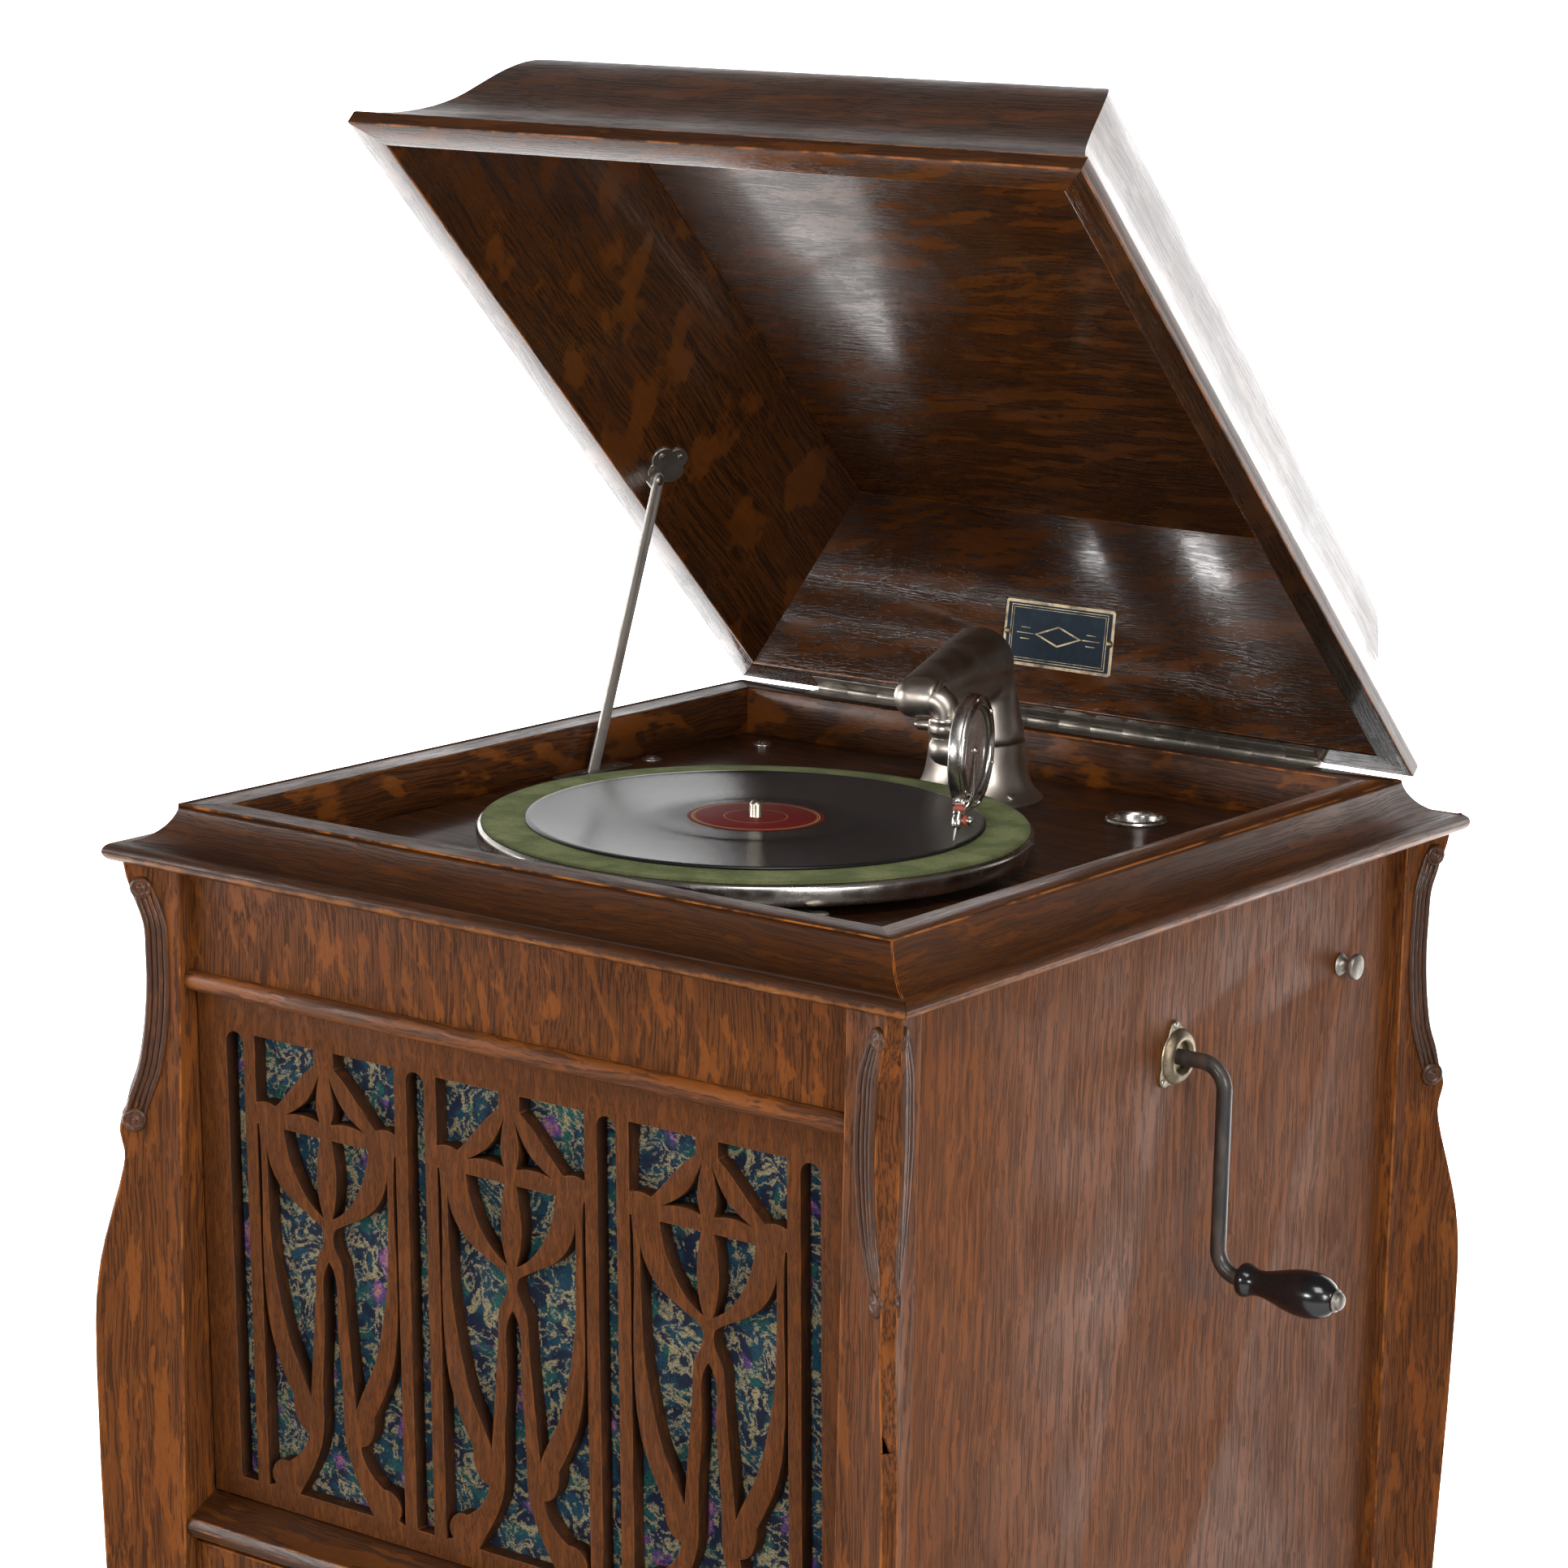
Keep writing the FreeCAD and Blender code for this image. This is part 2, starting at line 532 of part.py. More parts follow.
mesh_angle = toward(ARBOR, IDLER)
barrel = Part.makeCylinder(size("barrel_radius"), 40, Vector(0, 0, 0))
barrel = barrel.cut(Part.makeCylinder(size("barrel_radius - 2"), 35, Vector(0, 0, 2)))
ring = gear(int(size("barrel_teeth")), 6, 0, mesh_angle)
ring.translate(Vector(0, 0, 34))
barrel = barrel.fuse(ring.cut(Part.makeCylinder(size("barrel_radius") - 1, 10, Vector(0, 0, 30))))
barrel = barrel.cut(Part.makeCylinder(7.05, 60, Vector(0, 0, -5))).removeSplitter()
barrel.translate(ARBOR + Vector(0, 0, 893))
keep("spring_barrel", feature("barrel", barrel))
coil = Part.makeCylinder(43, 32, Vector(0, 0, 0)).cut(Part.makeCylinder(22, 40, Vector(0, 0, -2)))
coil.translate(ARBOR + Vector(0, 0, 896))
keep("mainspring", feature("coil", coil))

idler_pinion = gear(int(size("pinion_teeth")), 9, 0, toward(IDLER, ARBOR) + 180 / size("pinion_teeth"))
idler_pinion.translate(Vector(0, 0, 925.5))
wheel = gear(int(size("wheel_teeth")), 6, 0, toward(IDLER, SPINDLE))
wheel.translate(Vector(0, 0, 965))
idler = Part.makeCylinder(3, 127.5, Vector(0, 0, 886.1)).fuse([idler_pinion, wheel])
idler.translate(IDLER)
keep("intermediate_gear", feature("idler", idler))

drive = gear(int(size("spindle_teeth")), 9, 0, toward(SPINDLE, IDLER) + 180 / size("spindle_teeth"))
drive.translate(Vector(0, 0, 963.5))
worm_wheel = gear(40, 8, 0, 0)
worm_wheel.translate(Vector(0, 0, 981))
drive_gears = [feature("drive_pinion", drive.translated(SPINDLE)),
               feature("worm_wheel", worm_wheel.translated(SPINDLE))]
keep("spindle", fuse("spindle_group", [shaft] + drive_gears))

SHAFT_Z = size("rim_top - crank_drop")
BEVEL_BACK = 19.5
BEVEL_WIDE = 19.2
BEVEL_SMALL = 11.2
bevel = Part.makeCone(BEVEL_WIDE, BEVEL_SMALL, 8, Vector(0, 0, SHAFT_Z - BEVEL_BACK))
arbor = Part.makeCylinder(7, 52, Vector(0, 0, 885))
arbor = arbor.fuse([bevel, Part.makeCylinder(4, 125, Vector(0, 0, 890))])
arbor = arbor.fuse(Part.makeBox(15, 3, 30, Vector(0, -1.5, 897)))
arbor.translate(ARBOR)
keep("barrel_arbor", feature("arbor", arbor.removeSplitter()))

bevel_foot = Vector(BEVEL_BACK - size("arbor_left"), 0, 0)
winding_bevel = Part.makeCone(BEVEL_WIDE, BEVEL_SMALL, 8, bevel_foot, Vector(-1, 0, 0))
winding_hub = Part.makeCylinder(9, 8, bevel_foot, Vector(1, 0, 0))
winding = Part.makeCylinder(5, 225, Vector(-20, 0, 0), Vector(1, 0, 0)).fuse([winding_bevel, winding_hub])
winding.translate(Vector(0, size("crank_back"), SHAFT_Z))
keep("winding_shaft", feature("winding", winding.removeSplitter()))

GOV_Y = -size("spindle_ahead") - 25.2
GOV_Z = 985
governor = Part.makeCylinder(2, 107, Vector(-22, 0, 0), Vector(1, 0, 0))
worm = Part.makeCylinder(4, 26, Vector(-13, 0, 0), Vector(1, 0, 0))
disc = Part.makeCylinder(15, 3, Vector(70, 0, 0), Vector(1, 0, 0))
collar = Part.makeCylinder(6, 6, Vector(22, 0, 0), Vector(1, 0, 0))
governor = governor.fuse([worm, disc, collar])
for number in range(3):
    weight = Part.makeCylinder(5.6, 11, Vector(40.5, 0, 14), Vector(1, 0, 0))
    spring_low = Part.makeBox(26, 5, 0.8, Vector(24, -2.5, 5.2))
    spring_low.rotate(Vector(24, 0, 5.2), Vector(0, 1, 0), -18)
    spring_high = Part.makeBox(28, 5, 0.8, Vector(46, -2.5, 12.4))
    spring_high.rotate(Vector(46, 0, 12.4), Vector(0, 1, 0), 16)
    arm = weight.fuse([spring_low, spring_high])
    arm.rotate(Vector(0, 0, 0), Vector(1, 0, 0), 120 * number + 30)
    governor = governor.fuse(arm)
governor.translate(Vector(0, GOV_Y, GOV_Z))
keep("governor", feature("governor_group", governor))

MOTOR_TOP = size("motor_top")
MOTOR_BOTTOM = size("motor_bottom")
top_plate = Part.makeBox(196, 186, 4, Vector(-105, -135, MOTOR_TOP))
bottom_plate = Part.makeBox(196, 186, 4, Vector(-105, -135, MOTOR_BOTTOM))
pillar_long = BOARD - size("board_thick") - MOTOR_BOTTOM
pillars = [Part.makeCylinder(5, pillar_long, Vector(across, back, MOTOR_BOTTOM))
           for across in (-98, 84) for back in (-128, 44)]
bearing = Part.makeBox(6, 22, 75, Vector(40, size("crank_back") - 11, SHAFT_Z - 12))
governor_ends = [Part.makeBox(5, 12, 37, Vector(left, GOV_Y - 6, 975)) for left in (-24, 82)]
foot_block = Part.makeCylinder(9, 12, SPINDLE + Vector(0, 0, MOTOR_BOTTOM))
frame_shape = top_plate.fuse([bottom_plate, bearing, foot_block] + pillars + governor_ends)
UP = Vector(0, 0, 1)
RIGHT = Vector(1, 0, 0)
for radius, start, direction, deep in (
        (4.55, SPINDLE + UP * 889.9, UP, 200),
        (7.05, ARBOR + UP * 880, UP, 20),
        (4.05, ARBOR + UP * 1000, UP, 30),
        (3.05, IDLER + UP * 886, UP, 200),
        (5.05, Vector(30, size("crank_back"), SHAFT_Z), RIGHT, 30),
        (2.05, Vector(-30, GOV_Y, GOV_Z), RIGHT, 140)):
    frame_shape = frame_shape.cut(Part.makeCylinder(radius, deep, start, direction))
keep("motor_frame", feature("frame", frame_shape.removeSplitter()))

# ---------------------------------------------------------------- crank, handle, side fittings

OUTWARD = (1, 0, 0)
ROSETTE_OUTLINE = [(4.5, 0), (21, 0), (20, 1.5), (15, 2.2), (13.5, 5), (9.5, 6), (8.2, 4), (4.5, 3.4)]
CRANK_AXIS = ("panel_out", "crank_back", "rim_top - crank_drop")
keep("escutcheon", turned("crank_plate", ROSETTE_OUTLINE, CRANK_AXIS, OUTWARD))
ROD_START = Vector(205, 0, 0)
BEND = 14
arm_out = size("crank_arm_out")
throw = size("crank_throw")
bend_middle = BEND * (1 - math.sqrt(0.5))
knee = [Vector(arm_out - BEND, 0, 0), Vector(arm_out - bend_middle, 0, -bend_middle),
        Vector(arm_out, 0, -BEND)]
wrist = [Vector(arm_out, 0, BEND - throw), Vector(arm_out + bend_middle, 0, bend_middle - throw),
         Vector(arm_out + BEND, 0, -throw)]
bar_path = line(ROD_START, knee[0]) + [Part.Arc(*knee).toShape()] + line(knee[2], wrist[0])
bar_path.append(Part.Arc(*wrist).toShape())
bar_section = Part.Wire(Part.makeCircle(size("crank_rod"), ROD_START, RIGHT))
crank_bar = Part.Wire(bar_path).makePipeShell([bar_section], True, False)
grip_pin = Part.makeCylinder(3.5, 60, wrist[2], RIGHT)
end_cap = Part.makeCylinder(5.5, 3, wrist[2] + RIGHT * 59, RIGHT)
crank_bar = crank_bar.fuse([grip_pin, end_cap])
crank_bar.translate(Vector(0, size("crank_back"), SHAFT_Z))
keep("crank_arm", feature("crank_bar", crank_bar))
HANDLE_OUTLINE = [(3.55, 0), (8.5, 0), (9.3, 3), (8.5, 6.5), (7, 9.5), (8, 16), (11, 26), (13.5, 36),
                  (13.3, 45), (10.5, 53), (6.5, 57.5), (3.55, 57.5)]
GRIP_START = ("crank_arm_out + 14.8", "crank_back", "rim_top - crank_drop - crank_throw")
keep("crank_handle", turned("handle", HANDLE_OUTLINE, GRIP_START, OUTWARD))
KNOB_OUTLINE = [(0, 0), (5.5, 0), (5.5, 2), (3, 4), (3, 7), ("tone_knob_radius", 9), ("tone_knob_radius", 11),
                (5, 13.5), (0, 14.3)]
KNOB_START = ("panel_out + 0.4", "tone_back", "rim_top - tone_drop")
keep("tone_knob", turned("tone_knob_turned", KNOB_OUTLINE, KNOB_START, OUTWARD))
TONE_Y = size("tone_back")
TONE_Z = size("rim_top - tone_drop")
damper_rod = Part.makeCylinder(2.5, 277.5, Vector(-36, TONE_Y, TONE_Z), RIGHT)
damper_disc = Part.makeCylinder(21, 2, Vector(3, TONE_Y - 1, TONE_Z), Vector(0, 1, 0))
keep("tone_damper", feature("damper", damper_rod.fuse(damper_disc)))

# ---------------------------------------------------------------- horn under the board

def rect(half, y, low, high):
    return Part.makePolygon([Vector(-half, y, low), Vector(half, y, low), Vector(half, y, high),
                             Vector(-half, y, high), Vector(-half, y, low)])


# Sections from the mouth behind the grille back to the throat: half width, depth, low and high edge.
HORN = ((212, -226, 682, 958), (180, -150, 690, 875), (95, 40, 715, 845), (36, 160, 745, 817))
HORN_WALL = 7
horn_outer = Part.makeLoft([rect(*item) for item in HORN], True, True)
horn_inner = Part.makeLoft([rect(half - HORN_WALL, y, low + HORN_WALL, high - HORN_WALL)
                            for half, y, low, high in HORN], True, True)
mouth_open = Part.makeBox(406, 10, 262, Vector(-203, -230, 689))
throat_open = Part.makeBox(58, 12, 58, Vector(-29, 152, 752))
keep("horn_flare", feature("flare", horn_outer.cut(horn_inner.fuse([mouth_open, throat_open]))))
ARM_POST = Vector(size("arm_post_off"), size("arm_post_back"), 0)
BOARD_LOW = BOARD - size("board_thick")
THROAT_PATH = [ARM_POST + UP * BOARD_LOW, Vector(ARM_POST.x, TONE_Y, TONE_Z + 26),
               Vector(ARM_POST.x, TONE_Y, TONE_Z - 30), Vector(0, TONE_Y, 850), Vector(0, TONE_Y, 800)]


def tube(points, radius):
    """A round bar along straight runs, with a ball at every corner."""
    solid = Part.makeSphere(radius, points[0])
    for start, end in zip(points, points[1:]):
        solid = solid.fuse(Part.makeCylinder(radius, (end - start).Length, start, end - start))
        solid = solid.fuse(Part.makeSphere(radius, end))
    return solid


throat_outer = tube(THROAT_PATH, 27).fuse(Part.makeBox(72, 51, 72, Vector(-36, 160, 745)))
throat_inner = tube(THROAT_PATH, 23).fuse(Part.makeBox(58, 60, 58, Vector(-29, 146, 752)))
throat = throat_outer.cut(throat_inner)
throat = throat.cut(Part.makeBox(200, 100, 200, Vector(-100, 60, 700)))
throat = throat.cut(Part.makeBox(200, 200, 60, Vector(-100, 60, BOARD_LOW)))
throat = throat.cut(Part.makeCylinder(2.55, 120, Vector(-60, TONE_Y, TONE_Z), RIGHT))
flange = Part.makeCylinder(36, 4, ARM_POST + UP * (BOARD_LOW - 4))
flange = flange.cut(Part.makeCylinder(23, 8, ARM_POST + UP * (BOARD_LOW - 6)))
keep("horn_throat", feature("throat", throat.fuse(flange).removeSplitter()))

# ---------------------------------------------------------------- tonearm, crook, soundbox

BASE_OUTLINE = [(22, 0), (39.8, 0), (39.4, 1.6), (34, 7), (30.6, 14), (29, 24), (28.3, 35), (22, 35)]
keep("tonearm_base", turned("arm_base", BASE_OUTLINE, ("arm_post_off", "arm_post_back", BOARD_TOP)))

# The soundbox faces to the right and a little back. Its frame is side_dir, back_dir and up.
SOUND_TURN = math.radians(17.2)
side_dir = Vector(math.cos(SOUND_TURN), math.sin(SOUND_TURN), 0)
back_dir = Vector(-side_dir.y, side_dir.x, 0)
needle_tip = Vector(118.9, 18.7 - size("spindle_ahead"), size("rim_top - record_drop") + 0.15)
sound = needle_tip + back_dir * 28.5 + UP * 44.5
elbow = sound - side_dir * 34 + back_dir * 3 + UP * 26.5
root = Vector(ARM_POST.x, ARM_POST.y, elbow.z - 11.5)

dome_top = Vector(0, 0, 66)
dome_edge = Vector(28.2, 0, 0)
dome_side = spline([dome_edge, Vector(25.6, 0, 13), Vector(22.8, 0, 28), Vector(18, 0, 43.7),
                    Vector(10.4, 0, 56.7), dome_top])
dome_half = Part.Face(Part.Wire(line(dome_top, Vector(0, 0, 0), dome_edge) + [dome_side]))
dome = dome_half.revolve(Vector(0, 0, 0), UP, 360)
dome.translate(ARM_POST + UP * (BOARD + 35.3))
arm_long = (elbow - root).Length
arm_cone = Part.makeCone(20, 11.3, arm_long, root, elbow - root)
arm_solid = dome.fuse([arm_cone, Part.makeSphere(11.3, elbow), Part.makeCylinder(11.3, 15, elbow, side_dir)])
arm_bore = Part.makeCylinder(19, 40, ARM_POST + UP * (BOARD + 30))
arm_bore = arm_bore.fuse([Part.makeCone(15, 8.5, arm_long, root, elbow - root),
                          Part.makeCylinder(8.55, 20, elbow, side_dir)])
keep("tonearm", feature("arm", arm_solid.cut(arm_bore)))

TUBE_RADIUS = 7.2
TUBE_BEND = 7.6
tube_start = elbow + side_dir * 14.6
corner_out = elbow + side_dir * 22.4
bend_start = corner_out - side_dir * TUBE_BEND
bend_end = corner_out - UP * TUBE_BEND
bend_mid = corner_out - (UP + side_dir) * (TUBE_BEND * (1 - math.sqrt(0.5)))
tube_path = line(tube_start, bend_start) + [Part.Arc(bend_start, bend_mid, bend_end).toShape()]
tube_path += line(bend_end, Vector(corner_out.x, corner_out.y, sound.z))
tube_section = Part.Wire(Part.makeCircle(TUBE_RADIUS, tube_start, side_dir))
spigot = Part.makeCylinder(8.5, 15, elbow + side_dir * 4, side_dir)
crook = spigot.fuse([
    Part.makeCylinder(10.5, 5, elbow + side_dir * 15.4, side_dir),
    Part.Wire(tube_path).makePipeShell([tube_section], True, False),
    Part.makeCylinder(9.6, 19, sound - side_dir * 23.4, side_dir)])
crook = crook.cut(Part.makeCylinder(5.5, 14, elbow + side_dir * 3, side_dir))
rest_pin = Part.makeCylinder(3.2, 22, sound - side_dir * 32 + UP * 9.6, side_dir)
keep("crook", feature("crook_tube", crook.fuse(rest_pin)))

backplate = Part.makeCylinder(31.6, 3, sound - side_dir * 4.3, side_dir)
shell_rim = Part.makeCylinder(31.6, 4, sound - side_dir * 1.3, side_dir)
shell_rim = shell_rim.cut(Part.makeCylinder(26, 6, sound - side_dir * 1.3, side_dir))
keep("soundbox", feature("soundbox_shell", backplate.fuse(shell_rim).removeSplitter()))
front_ring = Part.makeCylinder(31, 1.8, sound + side_dir * 2.7, side_dir)
front_ring = front_ring.cut(Part.makeCylinder(24, 4, sound + side_dir * 2, side_dir))
keep("soundbox_ring", feature("front_ring", front_ring))
keep("diaphragm", feature("mica", Part.makeCylinder(25.8, 0.3, sound + side_dir * 1.6, side_dir)))

NEEDLE_RADIUS = 0.75
NEEDLE_LONG = 17
NEEDLE_POINT = 6
bar_dir = Vector(needle_tip - sound).normalize()
needle_start = needle_tip - bar_dir * NEEDLE_LONG
needle_socket = Part.makeCylinder(NEEDLE_RADIUS, 20, needle_start, bar_dir)
bar = Part.makeCylinder(3, 9, sound + bar_dir * 31.7, bar_dir)
holder = Part.makeCone(2.6, 2, 5, sound + bar_dir * 40.2, bar_dir)
thumb_screw = Part.makeCylinder(1.2, 8, sound + bar_dir * 37, side_dir)
keep("needle_arm", feature("stylus_bar", bar.fuse([holder, thumb_screw]).cut(needle_socket)))
shank = Part.makeCylinder(NEEDLE_RADIUS, NEEDLE_LONG - NEEDLE_POINT, needle_start, bar_dir)
point_start = needle_tip - bar_dir * NEEDLE_POINT
needle_point = Part.makeCone(NEEDLE_RADIUS, 0.15, NEEDLE_POINT, point_start, bar_dir)
keep("needle", feature("steel_needle", shank.fuse(needle_point)))

# ---------------------------------------------------------------- brake and speed levers on the board


def lever(pivot, hub, stem, blade, turn):
    """A lever on the board: hub and stem are (radius, length), blade is (tail, length, thickness, rise)."""
    tail, long, thick, rise = blade
    blade_bar = Part.makeBox(tail + long, 5, thick, Vector(-tail, -2.5, rise))
    blade_bar.rotate(Vector(0, 0, 0), UP, turn)
    stem_rod = Part.makeCylinder(stem[0], stem[1], Vector(0, 0, 2 - stem[1]))
    solid = Part.makeCylinder(hub[0], hub[1], Vector(0, 0, 0.4)).fuse([stem_rod, blade_bar])
    solid.translate(pivot)
    return solid.removeSplitter()


brake = lever(Vector(BRAKE_X, BRAKE_Y, BOARD), (5.5, 4), (2.9, 20), (8, 62, 2, 1.4), 156)
keep("brake_lever", feature("brake", brake))
speed = lever(Vector(SPEED_X, SPEED_Y, BOARD), (5, 3.6), (2.9, 22), (0, 38, 1.6, 1), -140)
keep("speed_lever", feature("speed", speed))

# ---------------------------------------------------------------- doors of the record compartment

DOOR_LOW = "base_low + base_high + 1.5"
DOOR_HIGH = "rim_top - grille_rail_under - base_low - base_high - 3"
DOOR_WIDE = "post_out_wide - post_side - 1.9"
PULL_OUTLINE = [(0, 0), (7.5, 0), (7, 1.5), (3.6, 3), (3.2, 8), (8, 13), (9, 17), (7, 20.5), (0, 22)]
for side, left, pull_x in (("left", "-(post_out_wide - post_side - 1)", -22), ("right", "0.9", 22)):
    leaf = box(f"door_leaf_{side}", (DOOR_WIDE, "door_thick", DOOR_HIGH), (left, "-frieze_out", DOOR_LOW))
    field = box(f"door_field_{side}", (f"{DOOR_WIDE} - 90", 5, f"{DOOR_HIGH} - 110"),
                (f"{left} + 45", "-frieze_out - 1", f"{DOOR_LOW} + 55"))
    keep(f"door_{side}", cut(f"door_cut_{side}", leaf, [field]))
    keep(f"door_pull_{side}", turned(f"pull_{side}", PULL_OUTLINE, (pull_x, "-frieze_out", 400), (0, -1, 0)))
door_knuckles = []
for hand in (-1, 1):
    for low in (150, 560):
        start = (hand * 218.6, "-frieze_out - 3.1", low)
        door_knuckles.append(rod(f"knuckle_{hand + 1}_{low}", 2.8, 60, start))
keep("door_hinges", group("knuckle_group", door_knuckles))

# ---------------------------------------------------------------- lid, modelled shut and then swung open

LID_BASE = size("rim_top + hinge_up")
HINGE = Vector(0, size("hinge_back"), LID_BASE)
HINGE_HALF = 180
HINGE_LEAF = 1.1
KNUCKLE_COUNT = 16
KNUCKLE = 2.2
PIN = 1.0
swing = Placement(Vector(0, 0, 0), Rotation(Vector(-1, 0, 0), size("lid_open")), HINGE)


def lid_part(label, shape):
    item = feature(label + "_shape", shape)
    item.Placement = swing.multiply(shape.Placement)
    return keep(label, item)


def knuckles(first, bore):
    """Every second knuckle of the long hinge, from knuckle number first."""
    pitch = 2 * HINGE_HALF / KNUCKLE_COUNT
    solids = []
    for number in range(first, KNUCKLE_COUNT, 2):
        start = Vector(-HINGE_HALF + number * pitch + 0.1, HINGE.y, HINGE.z)
        knuckle_tube = Part.makeCylinder(KNUCKLE, pitch - 0.2, start, RIGHT)
        tab_low = 0.1 if bore else -1.65
        tab = Part.makeBox(pitch - 0.2, 6, 1.1, Vector(start.x, HINGE.y - 6, HINGE.z + tab_low))
        if bore:
            knuckle_tube = knuckle_tube.cut(Part.makeCylinder(PIN + 0.05, pitch, start - RIGHT * 0.2, RIGHT))
            tab = tab.cut(Part.makeCylinder(KNUCKLE - 0.3, pitch, start - RIGHT * 0.2, RIGHT))
        solids.append(knuckle_tube.fuse(tab))
    return solids


LID_WIDE = size("lid_half_wide")
LID_DEEP = size("lid_long / 2")
LID_HIGH = size("lid_high")
LID_INNER = size("lid_inner_high")
LID_RIM = size("lid_rim")
TOP_FLAT = 64
WALL_RUN = 87 - LID_RIM
lid_middle = size("hinge_back") - LID_DEEP
profile = section([(-LID_RIM, 0), (0, 0), (0, 8.6), (-19.6, 28.3), (-31.5, 50), (-37, 66.5), (-42.5, 82),
                   (-50, 95.5), (-TOP_FLAT, LID_HIGH), (-TOP_FLAT, LID_INNER),
                   (-LID_RIM - WALL_RUN, LID_INNER)])
ogee = line(*profile[:3]) + [spline(profile[2:9])] + line(*profile[8:], profile[0])
lid_sticks = Part.makeCompound(mitred(ogee, LID_WIDE, LID_DEEP, lid_middle, LID_BASE))
knuckle_start = HINGE - RIGHT * (HINGE_HALF + 1)
knuckle_space = Part.makeCylinder(KNUCKLE + 0.4, 2 * HINGE_HALF + 2, knuckle_start, RIGHT)
leaf_space = Part.makeBox(2 * HINGE_HALF, 12, 1.2, HINGE + Vector(-HINGE_HALF, -12, 0))
lid_part("lid_moulding", lid_sticks.cut(Part.makeCompound([knuckle_space, leaf_space])))
panel_wide = LID_WIDE - TOP_FLAT - 0.2
panel_deep = LID_DEEP - TOP_FLAT - 0.2
panel_corner = Vector(-panel_wide, lid_middle - panel_deep, LID_BASE + LID_INNER)
lid_part("lid_panel", Part.makeBox(2 * panel_wide, 2 * panel_deep, LID_HIGH - LID_INNER, panel_corner))

leaf_up = Part.makeBox(2 * HINGE_HALF, 9, HINGE_LEAF, HINGE + Vector(-HINGE_HALF, -12, 0.1))
lid_part("hinge_upper_leaf", leaf_up.fuse(knuckles(0, True)))
leaf_low = Part.makeBox(2 * HINGE_HALF, 15, HINGE_LEAF, Vector(-HINGE_HALF, HINGE.y - 18, RIM - 1))
hinge_pin = Part.makeCylinder(PIN, 2 * HINGE_HALF, HINGE - RIGHT * HINGE_HALF, RIGHT)
keep("hinge_lower_leaf", feature("lower_leaf", leaf_low.fuse(knuckles(1, False) + [hinge_pin])))

# The plate and the stay's bracket lie on the lid's sloping inner walls.
wall_lean = math.degrees(math.atan2(WALL_RUN, LID_INNER))
plate = Part.makeBox(78, 0.8, 39.7, Vector(-37.5, -0.85, 0))
plate.Placement = Placement(HINGE + Vector(0, -31.3, 18.2), Rotation(RIGHT, wall_lean))
lid_part("name_plate", plate)
STAY_AHEAD = 192.7
STAY_UP = 10.9
BRACKET_UP = 21.7
bracket = Part.makeCylinder(13.5, 1.1, Vector(0.05, 0, 0), RIGHT)
bracket_x = LID_RIM - LID_WIDE + BRACKET_UP * WALL_RUN / LID_INNER
bracket.Placement = Placement(Vector(bracket_x, HINGE.y - 194.8, LID_BASE + BRACKET_UP),
                              Rotation(Vector(0, 1, 0), wall_lean))
ear_x = STAY_X - 2.9
ear = Part.makeBox(1.7, 12, 13, Vector(ear_x, HINGE.y - STAY_AHEAD - 6, LID_BASE + 5))
stay_pin = Part.makeCylinder(2, 4.6, Vector(ear_x, HINGE.y - STAY_AHEAD, LID_BASE + STAY_UP), RIGHT)
lid_part("stay_bracket", bracket.fuse([ear, stay_pin]).cut(lid_sticks))

STRAP_LONG = 205
STRAP_THICK = 1.6
STRAP_WIDE = 9
stay_pivot = swing.multVec(Vector(STAY_X, HINGE.y - STAY_AHEAD, LID_BASE + STAY_UP))
strap_corner = Vector(-STRAP_THICK / 2, -STRAP_WIDE / 2, -STRAP_LONG)
strap = Part.makeBox(STRAP_THICK, STRAP_WIDE, STRAP_LONG, strap_corner)
strap = strap.fuse(Part.makeCylinder(STRAP_WIDE / 2, STRAP_THICK, RIGHT * (-STRAP_THICK / 2), RIGHT))
strap = strap.cut(Part.makeCylinder(2.05, 4, RIGHT * -2, RIGHT))
strap_tilt = math.degrees(math.atan2(stay_pivot.y - STAY_Y, stay_pivot.z - BOARD))
lid_stay = feature("strap", strap)
lid_stay.Placement = Placement(stay_pivot, Rotation(RIGHT, -strap_tilt))
keep("lid_stay", lid_stay)

# ---------------------------------------------------------------- check and write

doc.recompute()
faults = [item.Name for item in doc.Objects if "Invalid" in item.State or "Error" in item.State]
if faults:
    raise SystemExit(f"failed objects: {faults}")
for label, item in subparts.items():
    if item.Shape.isNull() or not item.Shape.isValid():
        raise SystemExit(f"bad shape: {label}")
for label, item in subparts.items():
    item.Shape.exportStep(f"parts/{label}.step")
print(len(subparts), "sub-parts")
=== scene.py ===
"""Looks of a floor-standing wind-up phonograph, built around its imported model.

Lengths in the piece-making code are millimetres in the model's own frame (origin on the floor under the
middle of the cabinet, front towards -Y, crank on the +X side); Builder.done() turns them into metres.
"""
import json
from math import asin, atan2, copysign, cos, pi, radians, sin, sqrt, tan

import bmesh
import bpy
import numpy as np
from mathutils import Matrix, Vector

